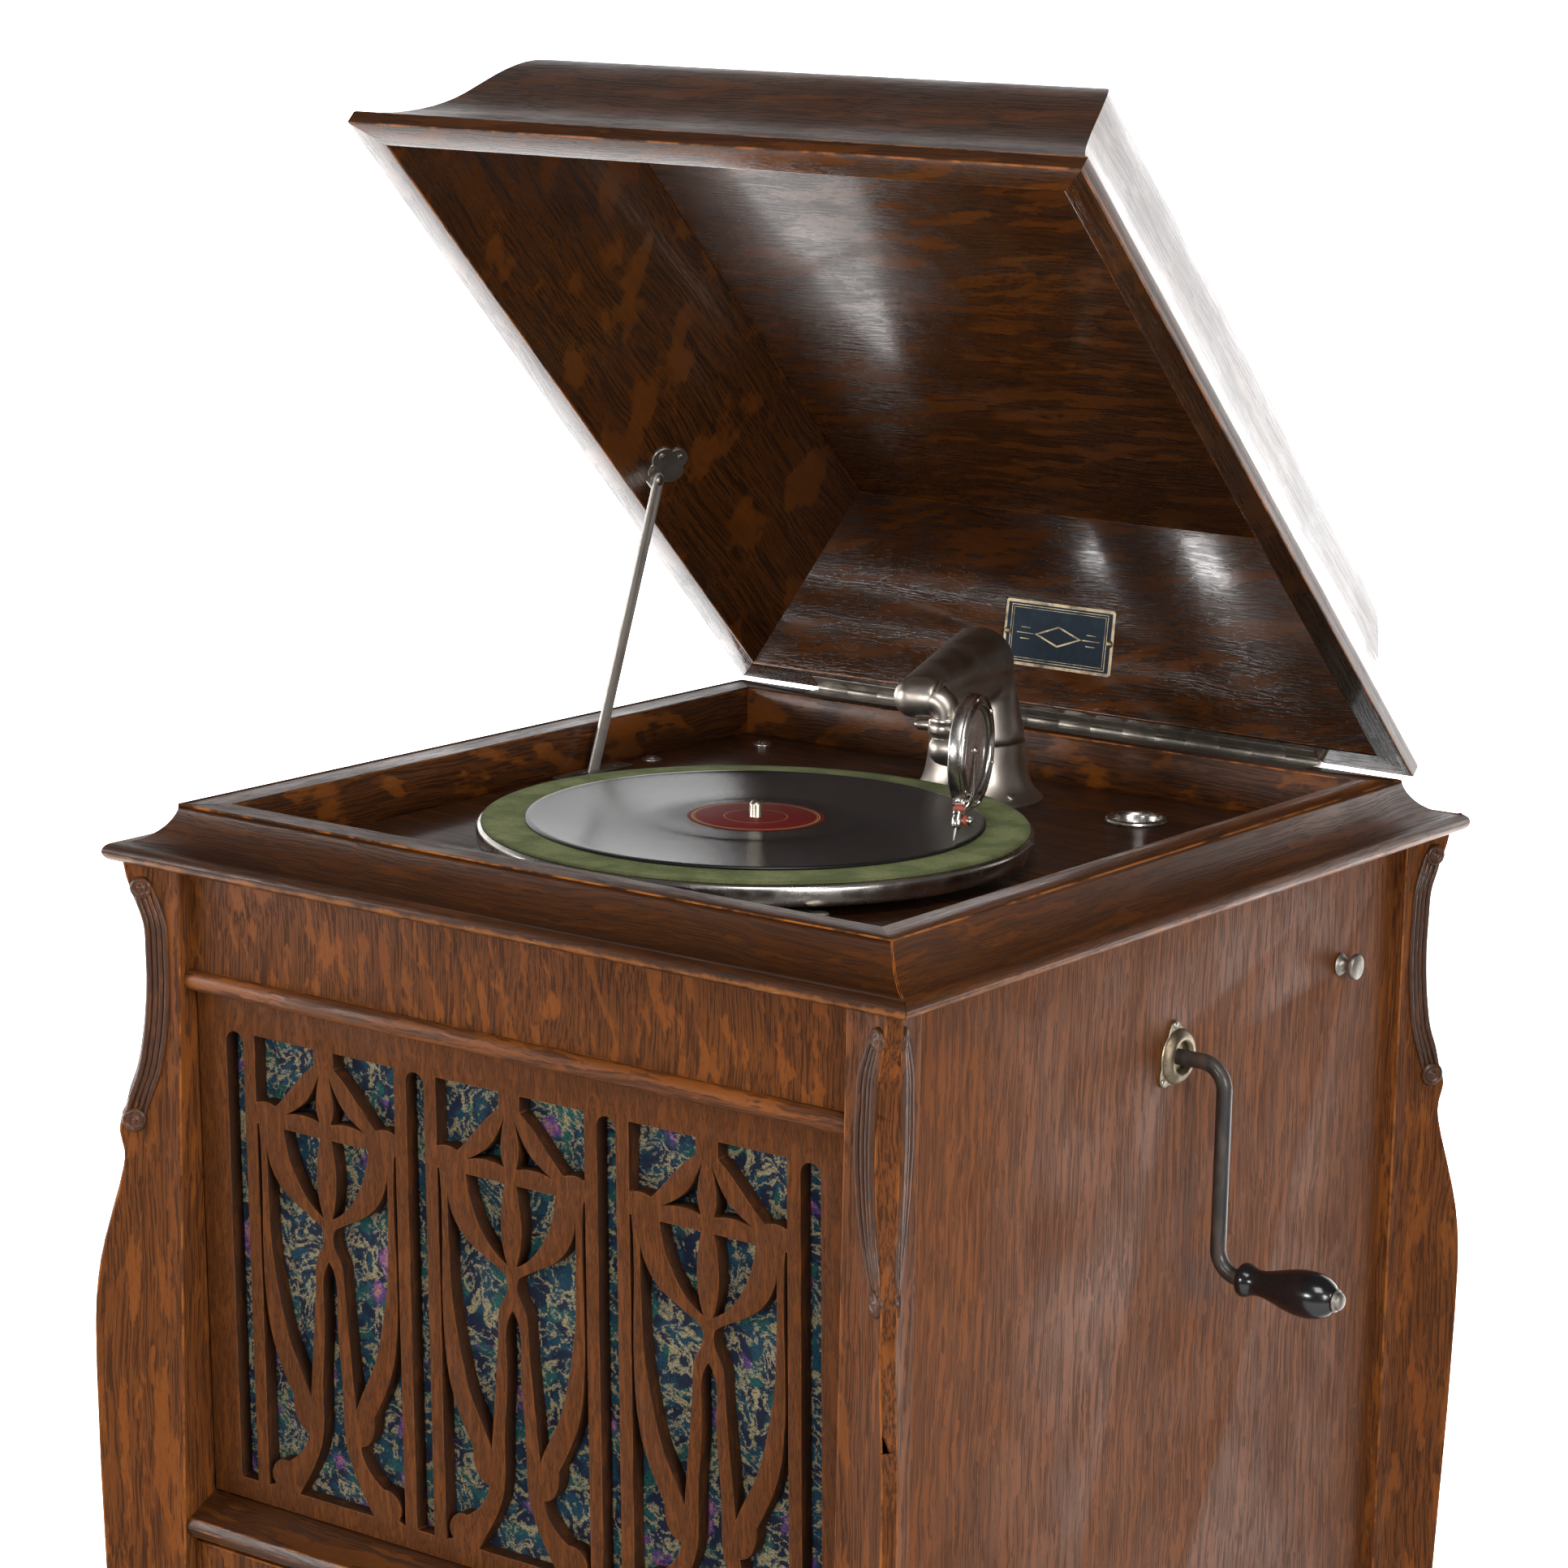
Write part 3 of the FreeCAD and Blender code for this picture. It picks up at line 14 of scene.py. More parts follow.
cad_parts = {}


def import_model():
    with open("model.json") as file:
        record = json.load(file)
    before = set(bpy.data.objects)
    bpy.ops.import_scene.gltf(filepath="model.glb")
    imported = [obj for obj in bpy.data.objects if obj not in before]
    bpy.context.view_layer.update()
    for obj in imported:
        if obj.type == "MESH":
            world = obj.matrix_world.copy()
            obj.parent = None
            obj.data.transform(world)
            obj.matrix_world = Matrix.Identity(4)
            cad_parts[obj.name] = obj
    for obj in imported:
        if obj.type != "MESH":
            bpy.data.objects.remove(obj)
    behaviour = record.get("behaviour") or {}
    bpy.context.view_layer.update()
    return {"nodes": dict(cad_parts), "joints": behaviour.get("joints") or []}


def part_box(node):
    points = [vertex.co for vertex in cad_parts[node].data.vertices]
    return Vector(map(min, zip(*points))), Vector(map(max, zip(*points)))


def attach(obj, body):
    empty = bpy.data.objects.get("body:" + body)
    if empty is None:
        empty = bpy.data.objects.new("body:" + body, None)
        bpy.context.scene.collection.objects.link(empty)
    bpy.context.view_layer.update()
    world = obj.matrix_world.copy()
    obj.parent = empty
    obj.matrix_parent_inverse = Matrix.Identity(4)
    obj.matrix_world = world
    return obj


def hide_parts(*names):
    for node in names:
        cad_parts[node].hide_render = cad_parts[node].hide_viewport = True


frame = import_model()
MM = 0.001
JOINTS = {joint["name"]: joint for joint in frame["joints"]}


def joint_at(name):
    """Where a joint of the model stands, in millimetres."""
    return Vector(JOINTS[name]["pos_m"]) / MM


def low_of(node):
    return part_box(node)[0] / MM


def high_of(node):
    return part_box(node)[1] / MM


UP = Vector((0, 0, 1))
RIGHT = Vector((1, 0, 0))
SPINDLE = joint_at("turntable_spin")
POST = joint_at("tonearm_swing")
ELBOW = joint_at("soundbox_lift")
SIDE = -Vector(JOINTS["soundbox_lift"]["axis"])
BACK = UP.cross(SIDE)
SOUND = ELBOW + SIDE * 34 - BACK * 3 - UP * 26.5
CRANK = joint_at("crank_turn")
GRIP = joint_at("crank_grip_spin")
TONE = joint_at("tone_turn")
HINGE = joint_at("lid_hinge")
LID_OPEN = radians(-JOINTS["lid_hinge"]["range_deg"][0])
PANEL_OUT = high_of("side_panel_right").x
BOARD = high_of("motor_board").z
RIM = high_of("cornice").z
CORNICE_LIP = (low_of("cornice").z + 2.5) * MM
# Just outside the cornice's inner walls, in from its outer edge.
WELL_IN_WIDE = 49.5
WELL_IN_DEEP = 46.1
# The posts' square corners, and the half thickness, end and sweep radius of their diagonal fins.
POST_OUT = Vector((248.8, 271, 0))
FIN_HALF = 4.25
FIN_START = 12.75
FIN_SWEEP = 41
RECORD_TOP = high_of("record").z
LID = Matrix.Translation(HINGE) @ Matrix.Rotation(-LID_OPEN, 4, "X")
# From the hinge line to the lid's front edge.
LID_LONG = 521.4
# The level direction of the white backdrop.
BACKDROP = (-0.59, 0.81, 0.0)
STAY_X = joint_at("stay_pivot").x
NEEDLE_TIP = Vector((118.9, -28.3, RECORD_TOP + 0.15))


# Slope of the lid's inner walls.
LID_WALL = atan2(69.2, 93)


def in_lid(x, inward, up):
    """A point of the open lid: inward from the hinge line, up into the lid from its rim face."""
    return LID @ Vector((x, -inward, up))


# ---------------------------------------------------------------- materials


class Graph:
    """A node tree with short names for its commonest nodes."""

    def __init__(self, tree):
        self.tree = tree

    def feed(self, socket, value):
        if isinstance(value, bpy.types.NodeSocket):
            self.tree.links.new(value, socket)
        elif isinstance(value, tuple) and len(value) == 3 and socket.type == "RGBA":
            socket.default_value = (*value, 1)
        else:
            socket.default_value = value

    def add(self, kind, inputs, output=0, **settings):
        node = self.tree.nodes.new("ShaderNode" + kind)
        for key, value in settings.items():
            setattr(node, key, value)
        for socket, value in inputs.items():
            self.feed(node.inputs[socket], value)
        return node.outputs[output] if output is not None else node

    def ramp(self, value, low, high, to_low=0.0, to_high=1.0):
        return self.add("MapRange", {"Value": value, "From Min": low, "From Max": high, "To Min": to_low,
            "To Max": to_high}, interpolation_type="SMOOTHSTEP")

    def calc(self, operation, first, second=0.0):
        return self.add("Math", {0: first, 1: second}, operation=operation)

    def plus(self, first, second):
        return self.calc("ADD", first, second)

    def times(self, first, second):
        return self.calc("MULTIPLY", first, second)

    def gap(self, value, centre):
        """How far a value stands from centre."""
        return self.calc("ABSOLUTE", self.calc("SUBTRACT", value, centre))

    def length(self, vector):
        return self.add("VectorMath", {0: vector}, output="Value", operation="LENGTH")

    def along(self, vector, direction):
        return self.add("VectorMath", {0: vector, 1: direction}, output="Value", operation="DOT_PRODUCT")

    def height(self, vector):
        return self.add("SeparateXYZ", {0: vector}, output="Z")


class Paint(Graph):
    """One material: a Principled shader and the nodes that feed it."""

    def __init__(self, name, **sockets):
        self.material = bpy.data.materials.new(name)
        self.material.use_nodes = True
        super().__init__(self.material.node_tree)
        self.shader = self.tree.nodes["Principled BSDF"]
        for socket, value in sockets.items():
            self.feed(self.shader.inputs[socket.replace("_", " ")], value)

    def place(self, scale=(1, 1, 1), turn=(0, 0, 0)):
        """Object coordinates in metres, turned and then scaled."""
        here = self.add("TexCoord", {}, output="Object")
        turned = self.add("Mapping", {"Vector": here, "Rotation": turn})
        return self.stretch(turned, scale)

    def stretch(self, vector, scale):
        return self.add("Mapping", {"Vector": vector, "Scale": scale})

    def noise(self, vector, scale=1.0, detail=2.0, rough=0.5, distort=0.0, output=0):
        return self.add("TexNoise", {"Vector": vector, "Scale": scale, "Detail": detail, "Roughness": rough,
            "Distortion": distort}, output=output)

    def cells(self, vector, scale):
        return self.add("TexVoronoi", {"Vector": vector, "Scale": scale}, output="Distance")

    def mix(self, first, second, share):
        return self.add("Mix", {0: share, 6: first, 7: second}, output=2, data_type="RGBA")

    def layer(self, under, over, pattern, low, high, amount=1.0):
        """One colour laid over another where a pattern rises from low to high."""
        return self.mix(under, over, self.ramp(pattern, low, high, 0, amount))

    def wobble(self, vector, scale, amount):
        """The vector pushed about by a slow noise, to make straight grain run wavy."""
        drift = self.noise(vector, scale, 2, 0.5, output="Color")
        centred = self.add("VectorMath", {0: drift, 1: (0.5, 0.5, 0.5)}, operation="SUBTRACT")
        pushed = self.add("VectorMath", {0: centred, "Scale": amount}, operation="SCALE")
        return self.add("VectorMath", {0: vector, 1: pushed}, operation="ADD")

    def radius(self, centre):
        """Distance in metres from a vertical axis through centre."""
        here = self.add("TexCoord", {}, output="Object")
        away = self.add("VectorMath", {0: here, 1: (centre.x * MM, centre.y * MM, 0)}, operation="SUBTRACT")
        flat = self.add("VectorMath", {0: away, 1: (1, 1, 0)}, operation="MULTIPLY")
        return self.length(flat)

    def edge(self, centre_noise, low, high):
        """The worn strip along an edge: the mesh's own edge value, broken up by noise."""
        strip = self.add("Attribute", {}, output="Fac", attribute_name="edge")
        return self.times(strip, self.ramp(centre_noise, low, high))

    def bump(self, height, distance, strength=1.0, under=None):
        inputs = {"Height": height, "Distance": distance, "Strength": strength}
        if under is not None:
            inputs["Normal"] = under
        return self.add("Bump", inputs)

    def finish(self, colour=None, roughness=None, normal=None):
        for socket, value in (("Base Color", colour), ("Roughness", roughness), ("Normal", normal)):
            if value is not None:
                self.feed(self.shader.inputs[socket], value)
        return self.material


# Turns that bring a stick's length to the material's Z axis.
ALONG = {"z": (0, 0, 0), "x": (0, pi / 2, 0), "y": (pi / 2, 0, 0)}


def oak(name, along="z", tone=1.0, patch=(12, 45), cover=0.5, line=(1.1, 60), ink=0.8, slant=0.1, lid=False,
        shine=0.3, wear=1.0, gold=1.0, coat=0.35, gloss=0.5, cloud=0.5, fleck=1.0, lip=None):
    """Quarter-sawn oak under old varnish: dark pore lines that stop at smooth, paler ray flecks.

    patch is the width and length of a fleck and line the pitch and length of a pore line, in millimetres.
    tone scales the colour and gold the flecks; cover is how much of the wood the flecks take, and fleck how
    strongly they show; ink darkens the pore lines, slant leans the flecks, and cloud is the broad darkening.
    shine is the lowest roughness, coat and gloss the varnish, and wear the rubbing along edges.
    lid lays the grain by the shut lid, and lip is the height in metres of a rubbed lower edge.
    """
    paint = Paint(name, Coat_Weight=coat, Coat_Roughness=0.14, Specular_IOR_Level=gloss)
    here = paint.place(turn=(LID_OPEN if lid else 0, 0, 0))
    grain = paint.add("Mapping", {"Vector": here, "Rotation": ALONG[along],
        "Location": (0.37 * len(name), 0.21 * len(name), 0.13)})
    wavy = paint.wobble(grain, 9, 0.014)
    fine = paint.wobble(wavy, 110, 0.0009)
    ragged = paint.wobble(wavy, 75, 0.005)
    leaning = paint.add("Mapping", {"Vector": ragged, "Rotation": (slant, slant, 0)})
    across, long = patch
    flecks = paint.noise(paint.stretch(leaning, (1000 / across, 1000 / across, 1000 / long)), 1, 3, 0.55)
    flecks = paint.ramp(flecks, 0.56 - 0.1 * cover, 0.64 - 0.1 * cover)
    pitch, run = line
    lines = paint.noise(paint.stretch(fine, (1000 / pitch, 1000 / pitch, 1000 / run)), 1, 2, 0.6)
    lines = paint.ramp(lines, 0.44, 0.6)
    ticks = paint.noise(paint.stretch(fine, (2300, 2300, 150)), 1, 1, 0.5)
    ticks = paint.ramp(ticks, 0.56, 0.7)
    broad = paint.noise(paint.stretch(wavy, (24, 24, 5)), 1, 3, 0.6)
    shy = paint.calc("SUBTRACT", 1.0, paint.times(flecks, 0.85))
    depth = paint.times(lines, shy)
    pale = (0.205 * tone * gold, 0.060 * tone * gold, 0.0105 * tone)
    mid = (0.128 * tone, 0.039 * tone, 0.0085 * tone)
    dark = (0.033 * tone, 0.0115 * tone, 0.0045 * tone)
    colour = paint.mix(mid, pale, paint.times(flecks, fleck))
    colour = paint.mix(colour, dark, paint.times(depth, ink))
    colour = paint.mix(colour, dark, paint.times(ticks, 0.4 * ink))
    colour = paint.layer(colour, dark, broad, 0.42, 0.75, cloud)
    rubbed = paint.edge(paint.noise(grain, 45, 4, 0.65), 0.40, 0.62)
    colour = paint.mix(colour, (0.34, 0.105, 0.018), paint.times(rubbed, 0.7 * wear))
    if lip is not None:
        gap = paint.gap(paint.height(here), lip)
        gap = paint.plus(gap, paint.times(paint.noise(grain, 60, 4, 0.7), 0.008))
        colour = paint.mix(colour, (0.30, 0.10, 0.02), paint.ramp(gap, 0.0035, 0.0065, 0.75, 0.0))
        scratch = paint.noise(paint.stretch(grain, (900, 900, 60)), 1, 2, 0.6)
        scratch = paint.times(paint.ramp(scratch, 0.62, 0.7), paint.ramp(gap, 0.003, 0.006, 0.7, 0.0))
        colour = paint.mix(colour, (0.55, 0.33, 0.17), scratch)
    rough = paint.ramp(paint.noise(grain, 16, 4, 0.6), 0.3, 0.75, shine, shine + 0.16)
    rough = paint.plus(rough, paint.times(depth, 0.12))
    normal = paint.bump(paint.plus(depth, paint.times(ticks, 0.5)), 0.00022, 0.35)
    normal = paint.bump(paint.noise(grain, 22, 2, 0.5), 0.0012, 0.1, normal)
    return paint.finish(colour, rough, normal)


def metal(name, colour, tarnish, rough=0.2, spread=0.2, spots=0.5, scale=45):
    """Plated or plain metal with tarnish in clouds and spots, and fine scratches."""
    paint = Paint(name, Metallic=1.0)
    here = paint.place()
    clouds = paint.noise(here, scale, 5, 0.65)
    specks = paint.noise(here, scale * 14, 2, 0.6)
    dull = paint.times(paint.ramp(clouds, 0.42, 0.75), spots)
    pits = paint.times(paint.ramp(specks, 0.66, 0.74), paint.ramp(clouds, 0.5, 0.6))
    shade = paint.mix(colour, tarnish, paint.plus(dull, paint.times(pits, 0.6 * spots)))
    scratches = paint.noise(paint.add("Mapping", {"Vector": here, "Rotation": (0.4, 0.3, 0.6),
        "Scale": (2600, 90, 90)}), 1, 2, 0.6)
    roughness = paint.plus(paint.ramp(clouds, 0.3, 0.75, rough, rough + spread), paint.times(scratches, 0.06))
    normal = paint.bump(scratches, 0.00002, 0.3)
    normal = paint.bump(pits, 0.0001, 0.2, normal)
    return paint.finish(shade, roughness, normal)


def lacquer(name, colour, worn, wear_low, wear_high, rough=0.16, scale=60, stretch=(1, 1, 1), coat=0.5):
    """Black enamel or lacquer, rubbed through in places."""
    paint = Paint(name, Coat_Weight=coat, Coat_Roughness=0.14)
    here = paint.place(scale=stretch)
    rubs = paint.ramp(paint.noise(here, scale, 5, 0.7), wear_low, wear_high)
    rubs = paint.calc("MAXIMUM", rubs, paint.edge(paint.noise(here, 70, 3, 0.6), 0.45, 0.6))
    shade = paint.mix(colour, worn, rubs)
    dust = paint.noise(here, 900, 2, 0.6)
    shade = paint.layer(shade, (0.12, 0.11, 0.1), dust, 0.74, 0.86, 0.35)
    roughness = paint.plus(paint.ramp(paint.noise(here, 24, 4, 0.6), 0.3, 0.7, rough, rough + 0.14),
        paint.times(rubs, 0.2))
    return paint.finish(shade, roughness, paint.bump(rubs, 0.00006, 0.4))


def felt_paint():
    """Sage-green baize, mottled, with short crossing fibres, and painted darker over the last few millimetres
    of its rim.
    """
    paint = Paint("felt_green", Roughness=1.0, Sheen_Weight=0.12, Sheen_Roughness=0.5, Specular_IOR_Level=0.1)
    paint.shader.inputs["Sheen Tint"].default_value = (0.5, 0.6, 0.35, 1)
    here = paint.place()
    blotch = paint.noise(here, 38, 4, 0.6)
    fibre = paint.noise(paint.wobble(here, 300, 0.004), 1500, 3, 0.7)
    shade = paint.layer((0.115, 0.135, 0.052), (0.235, 0.250, 0.110), blotch, 0.35, 0.65)
    shade = paint.layer(shade, (0.05, 0.06, 0.022), fibre, 0.50, 0.66, 0.8)
    shade = paint.layer(shade, (0.38, 0.38, 0.24), fibre, 0.42, 0.28, 0.4)
    # The outer few millimetres, where the felt turns down over the platter's edge, are painted darker.
    rim = paint.ramp(paint.radius(SPINDLE), 0.1485, 0.1525, 0, 0.6)
    shade = paint.mix(shade, (0.05, 0.05, 0.026), rim)
    return paint.finish(shade, None, paint.bump(fibre, 0.0006, 0.6))


def record_paint():
    """Black shellac with the fine groove, cut in bands, and dust between them."""
    paint = Paint("shellac", Roughness=0.24, Anisotropic=0.75)
    paint.shader.inputs["Specular IOR Level"].default_value = 0.35
    tangent = paint.add("Tangent", {}, direction_type="RADIAL", axis="Z")
    paint.feed(paint.shader.inputs["Tangent"], tangent)
    here = paint.place()
    reach = paint.length(here)
    groove = paint.calc("SINE", paint.times(reach, 2 * pi / 0.00045))
    bands = paint.noise(reach, 420, 3, 0.7)
    dust = paint.noise(here, 800, 3, 0.7)
    shade = paint.layer((0.0065, 0.0065, 0.007), (0.02, 0.019, 0.018), bands, 0.45, 0.7)
    shade = paint.layer(shade, (0.10, 0.095, 0.09), dust, 0.68, 0.86, 0.35)
    return paint.finish(shade, None, paint.bump(groove, 0.00005, 0.22))


def label_paint():
    """Dark red paper with thin printed rings, and no words."""
    paint = Paint("label_red", Roughness=0.6, Specular_IOR_Level=0.2)
    here = paint.place()
    reach = paint.length(here)
    fibre = paint.noise(here, 700, 3, 0.6)
    shade = paint.layer((0.17, 0.012, 0.011), (0.115, 0.008, 0.008), fibre, 0.35, 0.65)
    for ring, wide in ((0.0352, 0.00035), (0.0340, 0.00018), (0.0175, 0.00022)):
        off = paint.gap(reach, ring)
        shade = paint.layer((0.42, 0.27, 0.09), shade, off, wide * 0.6, wide * 1.4)
    scuffs = paint.noise(paint.place(scale=(40, 900, 40)), 1, 3, 0.6)
    shade = paint.layer(shade, (0.3, 0.1, 0.08), scuffs, 0.66, 0.8, 0.4)
    return paint.finish(shade, None, paint.bump(fibre, 0.00006, 0.25))


def brocade_paint():
    """Woven cloth: teal ground with navy patches that are painted shade, beige scrolls, violet and pink
    blooms, stepped thread by thread, with near-black painted shade between threads.
    """
    paint = Paint("brocade", Roughness=0.85, Sheen_Weight=0.12, Sheen_Roughness=0.4, Specular_IOR_Level=0.2)
    here = paint.place()
    curled = paint.wobble(paint.wobble(here, 30, 0.02), 700, 0.003)
    woven = paint.add("VectorMath", {0: curled, 1: (0.0011, 1.0, 0.0005)}, operation="SNAP")
    fine = paint.add("VectorMath", {0: here, 1: (0.0009, 1.0, 0.00045)}, operation="SNAP")
    thread = paint.noise(fine, 1500, 1, 0.5)
    # The navy patches laid into the teal ground are painted shade: the dark shadows of the cloth, put in as
    # colour.
    shade = paint.layer((0.006, 0.048, 0.080), (0.006, 0.012, 0.036), paint.noise(woven, 70, 2, 0.5), 0.44,
        0.54)
    shade = paint.layer(shade, (0.010, 0.085, 0.080), paint.noise(woven, 55, 1, 0.5), 0.56, 0.62)
    leaf = paint.gap(paint.noise(woven, 62, 2, 0.6, 1.4), 0.5)
    shade = paint.layer((0.33, 0.27, 0.15), shade, leaf, 0.02, 0.04)
    petal = paint.times(paint.noise(woven, 170, 1, 0.5), 0.42)
    bloom = paint.plus(paint.cells(woven, 34), petal)
    for colour, reach in (((0.11, 0.045, 0.19), 0.43), ((0.33, 0.13, 0.22), 0.36),
            ((0.38, 0.20, 0.12), 0.27)):
        shade = paint.layer(colour, shade, bloom, reach - 0.03, reach + 0.02)
    vein = paint.ramp(paint.noise(woven, 260, 1, 0.5), 0.60, 0.66, 0, 0.8)
    shade = paint.mix(shade, (0.27, 0.25, 0.16), vein)
    # Painted shade: near-black laid thread by thread, as the dark between the threads.
    shade = paint.layer(shade, (0.004, 0.006, 0.012), thread, 0.46, 0.66, 0.8)
    rows = paint.add("TexWave", {"Vector": paint.stretch(here, (0, 0, 900)), "Scale": 1.0, "Distortion": 0.4},
        wave_type="BANDS", bands_direction="Z")
    normal = paint.bump(paint.plus(rows, thread), 0.0004, 0.5)
    return paint.finish(shade, None, normal)


def mica_paint():
    """A thin mica disc: clear, faintly warm, with split layers that show as pale clouds."""
    paint = Paint("mica_clear", Transmission_Weight=0.85, IOR=1.45, Roughness=0.08)
    here = paint.place()
    clouds = paint.noise(here, 90, 4, 0.6)
    shade = paint.layer((0.80, 0.66, 0.58), (0.62, 0.48, 0.42), clouds, 0.4, 0.65)
    return paint.finish(shade, paint.ramp(clouds, 0.4, 0.7, 0.05, 0.2), None)


def enamel_plate_paint():
    """The blank name plate's dark blue ground, clouded; the brass border and the plain lozenge between two
    rules are built with the plate.
    """
    paint = Paint("plate_blue", Specular_IOR_Level=0.12)
    here = paint.place()
    clouds = paint.noise(here, 70, 4, 0.6)
    shade = paint.layer((0.008, 0.017, 0.030), (0.020, 0.034, 0.048), clouds, 0.4, 0.7)
    return paint.finish(shade, paint.ramp(clouds, 0.3, 0.7, 0.45, 0.65), paint.bump(clouds, 0.0001, 0.2))


def fibre_paint(name, pale, deep):
    """Vulcanised fibre or old rubber: matt and a little mottled."""
    paint = Paint(name, Roughness=0.6)
    here = paint.place()
    shade = paint.mix(pale, deep, paint.noise(here, 420, 4, 0.6))
    return paint.finish(shade, None, paint.bump(paint.noise(here, 900, 2, 0.5), 0.0001, 0.3))


def floor_paint():
    """White paper sweep, glowing behind the object where the backdrop's lamps reach it."""
    paint = Paint("floor_pale", Roughness=0.7, Emission_Color=(1.0, 1.0, 1.0))
    here = paint.place()
    away = paint.along(here, BACKDROP)
    glow = paint.ramp(away, 0.0, 1.1, 0.05, 3.2)
    far = paint.ramp(paint.length(here), 1.0, 3.0, 0.0, 0.8)
    seen = paint.add("LightPath", {}, output="Is Camera Ray")
    glow = paint.calc("MAXIMUM", glow, paint.times(far, seen))
    paint.feed(paint.shader.inputs["Emission Strength"], glow)
    cloud = paint.noise(here, 0.6, 2, 0.5)
    return paint.finish(paint.mix((0.88, 0.88, 0.88), (0.92, 0.92, 0.92), cloud))


OAK_PANEL = oak("oak_panel", "z", 1.05, (4, 60), 0.5, (1.3, 50), 0.5, 0.04, shine=0.46, coat=0.0, gloss=0.2,
    cloud=0.3, fleck=0.6)
OAK_POST = oak("oak_post", "z", 1.1, (8, 60), 0.3, (1.0, 50), 0.8, 0.05, shine=0.42, coat=0.0, gloss=0.1,
    cloud=0.3, fleck=0.6)
OAK_FRIEZE = oak("oak_frieze", "z", 0.97, (8, 30), 0.4, (1.0, 40), 0.8, 0.16, shine=0.44, coat=0.0,
    gloss=0.08, cloud=0.25, fleck=0.75)
OAK_FRET = oak("oak_fret", "z", 0.8, (3, 40), 0.3, (0.45, 10), 0.6, 0.02, wear=0.35, shine=0.48, coat=0.0,
    gloss=0.08, cloud=0.15, fleck=0.4)
# The walls inside the fret's cut-throughs take the fret's oak painted far darker (tone 0.3 against 0.8):
# painted shade in the recesses.
FRET_WALL_SHADED = oak("oak_fret_wall", "z", 0.3, (6, 26), 0.2, (0.5, 6), 0.5, 0.03, wear=0.4, shine=0.5, coat=0.0,
    gloss=0.2)
OAK_RAIL = oak("oak_rail", "x", 0.5, (8, 90), 0.35, (1.1, 60), 0.7, 0.05, shine=0.36, coat=0.1, gloss=0.3)
OAK_BEAD = oak("oak_bead", "x", 1.0, (6, 110), 0.6, (1.1, 70), 0.7, 0.03, shine=0.38, coat=0.0, gloss=0.2)
# The cornice's cove is one oak in two copies: the front and back copy is painted darker (tone 0.45) as
# painted shade, and the side copy lighter (tone 0.65) as painted light, for how the lamps fall on them.
OAK_COVE_X_SHADED = oak("oak_cove_x", "x", 0.45, (7, 80), 0.2, (1.1, 70), 0.6, 0.04, shine=0.36, wear=1.6, coat=0.05,
    gloss=0.18, fleck=0.6, lip=CORNICE_LIP)
OAK_COVE_Y_LIT = oak("oak_cove_y", "y", 0.65, (7, 80), 0.2, (1.1, 70), 0.6, 0.04, shine=0.34, wear=1.6, coat=0.1,
    gloss=0.35, fleck=0.6, lip=CORNICE_LIP)
OAK_WELL_X, OAK_WELL_Y = (oak("oak_well_" + way, way, 0.62, (18, 50), 0.6, (1.1, 50), 0.9, 0.2, shine=0.26,
    gold=1.25, coat=0.15, gloss=0.3) for way in "xy")
OAK_BOARD = oak("oak_board", "x", 0.45, (9, 120), 0.3, (1.1, 60), 0.7, 0.03, shine=0.28, coat=0.2)
OAK_LID_X = oak("oak_lid_x", "x", 0.5, (10, 70), 0.45, (1.2, 40), 0.9, 0.12, lid=True, shine=0.12, wear=0.8)
OAK_LID_Y = oak("oak_lid_y", "y", 0.5, (30, 60), 0.25, (1.2, 60), 0.9, 0.5, lid=True, shine=0.12, wear=0.8)
# The lid's outside is one oak in two copies: the copy for its front, back and top is painted darker (tone
# 0.45 against 0.5 on the sides), as painted shade for how the light falls.
OAK_LID_OUT_X_SHADED = oak("oak_lid_out_x", "x", 0.45, (9, 90), 0.25, (1.1, 70), 0.7, 0.05, lid=True, shine=0.28,
    coat=0.15, gloss=0.3)
OAK_LID_OUT_Y = oak("oak_lid_out_y", "y", 0.5, (9, 90), 0.25, (1.1, 70), 0.7, 0.05, lid=True, shine=0.24,
    coat=0.6, gloss=0.6)
PLAIN_WOOD = oak("plain_wood", "z", 0.9, (9, 150), 0.2, (1.4, 120), 0.45, 0.02, shine=0.5, wear=0.3, coat=0.0,
    gloss=0.2, cloud=0.3, fleck=0.3)
CARVED = oak("oak_carved_scroll", "z", 0.55, (5, 40), 0.2, (0.8, 30), 0.6, 0.05, wear=1.3, coat=0.1,
    gloss=0.35)
NICKEL = metal("nickel_warm", (0.45, 0.40, 0.35), (0.22, 0.185, 0.155), 0.28, 0.16, 0.5)
NICKEL_BRIGHT = metal("nickel_bright", (0.62, 0.59, 0.55), (0.30, 0.26, 0.23), 0.15, 0.16, 0.45, 70)
NICKEL_OLD = metal("nickel_old", (0.36, 0.33, 0.29), (0.13, 0.115, 0.10), 0.32, 0.2, 0.7, 60)
STEEL = metal("steel", (0.50, 0.49, 0.47), (0.24, 0.22, 0.20), 0.26, 0.15, 0.4, 60)
STRAP_STEEL = metal("strap_steel", (0.72, 0.68, 0.63), (0.45, 0.41, 0.36), 0.5, 0.15, 0.4, 60)
BRASS_AGED = metal("brass_aged", (0.30, 0.24, 0.16), (0.08, 0.06, 0.04), 0.32, 0.2, 0.9, 90)
BRASS = metal("brass_plain", (0.72, 0.50, 0.22), (0.36, 0.24, 0.10), 0.26, 0.16, 0.5, 60)
IRON = metal("iron_cast", (0.10, 0.10, 0.10), (0.045, 0.043, 0.04), 0.5, 0.2, 0.6, 90)
CRANK_BLACK = lacquer("crank_black", (0.016, 0.014, 0.013), (0.075, 0.048, 0.034), 0.44, 0.66, 0.34, 30,
    (1, 1, 0.35), 0.25)
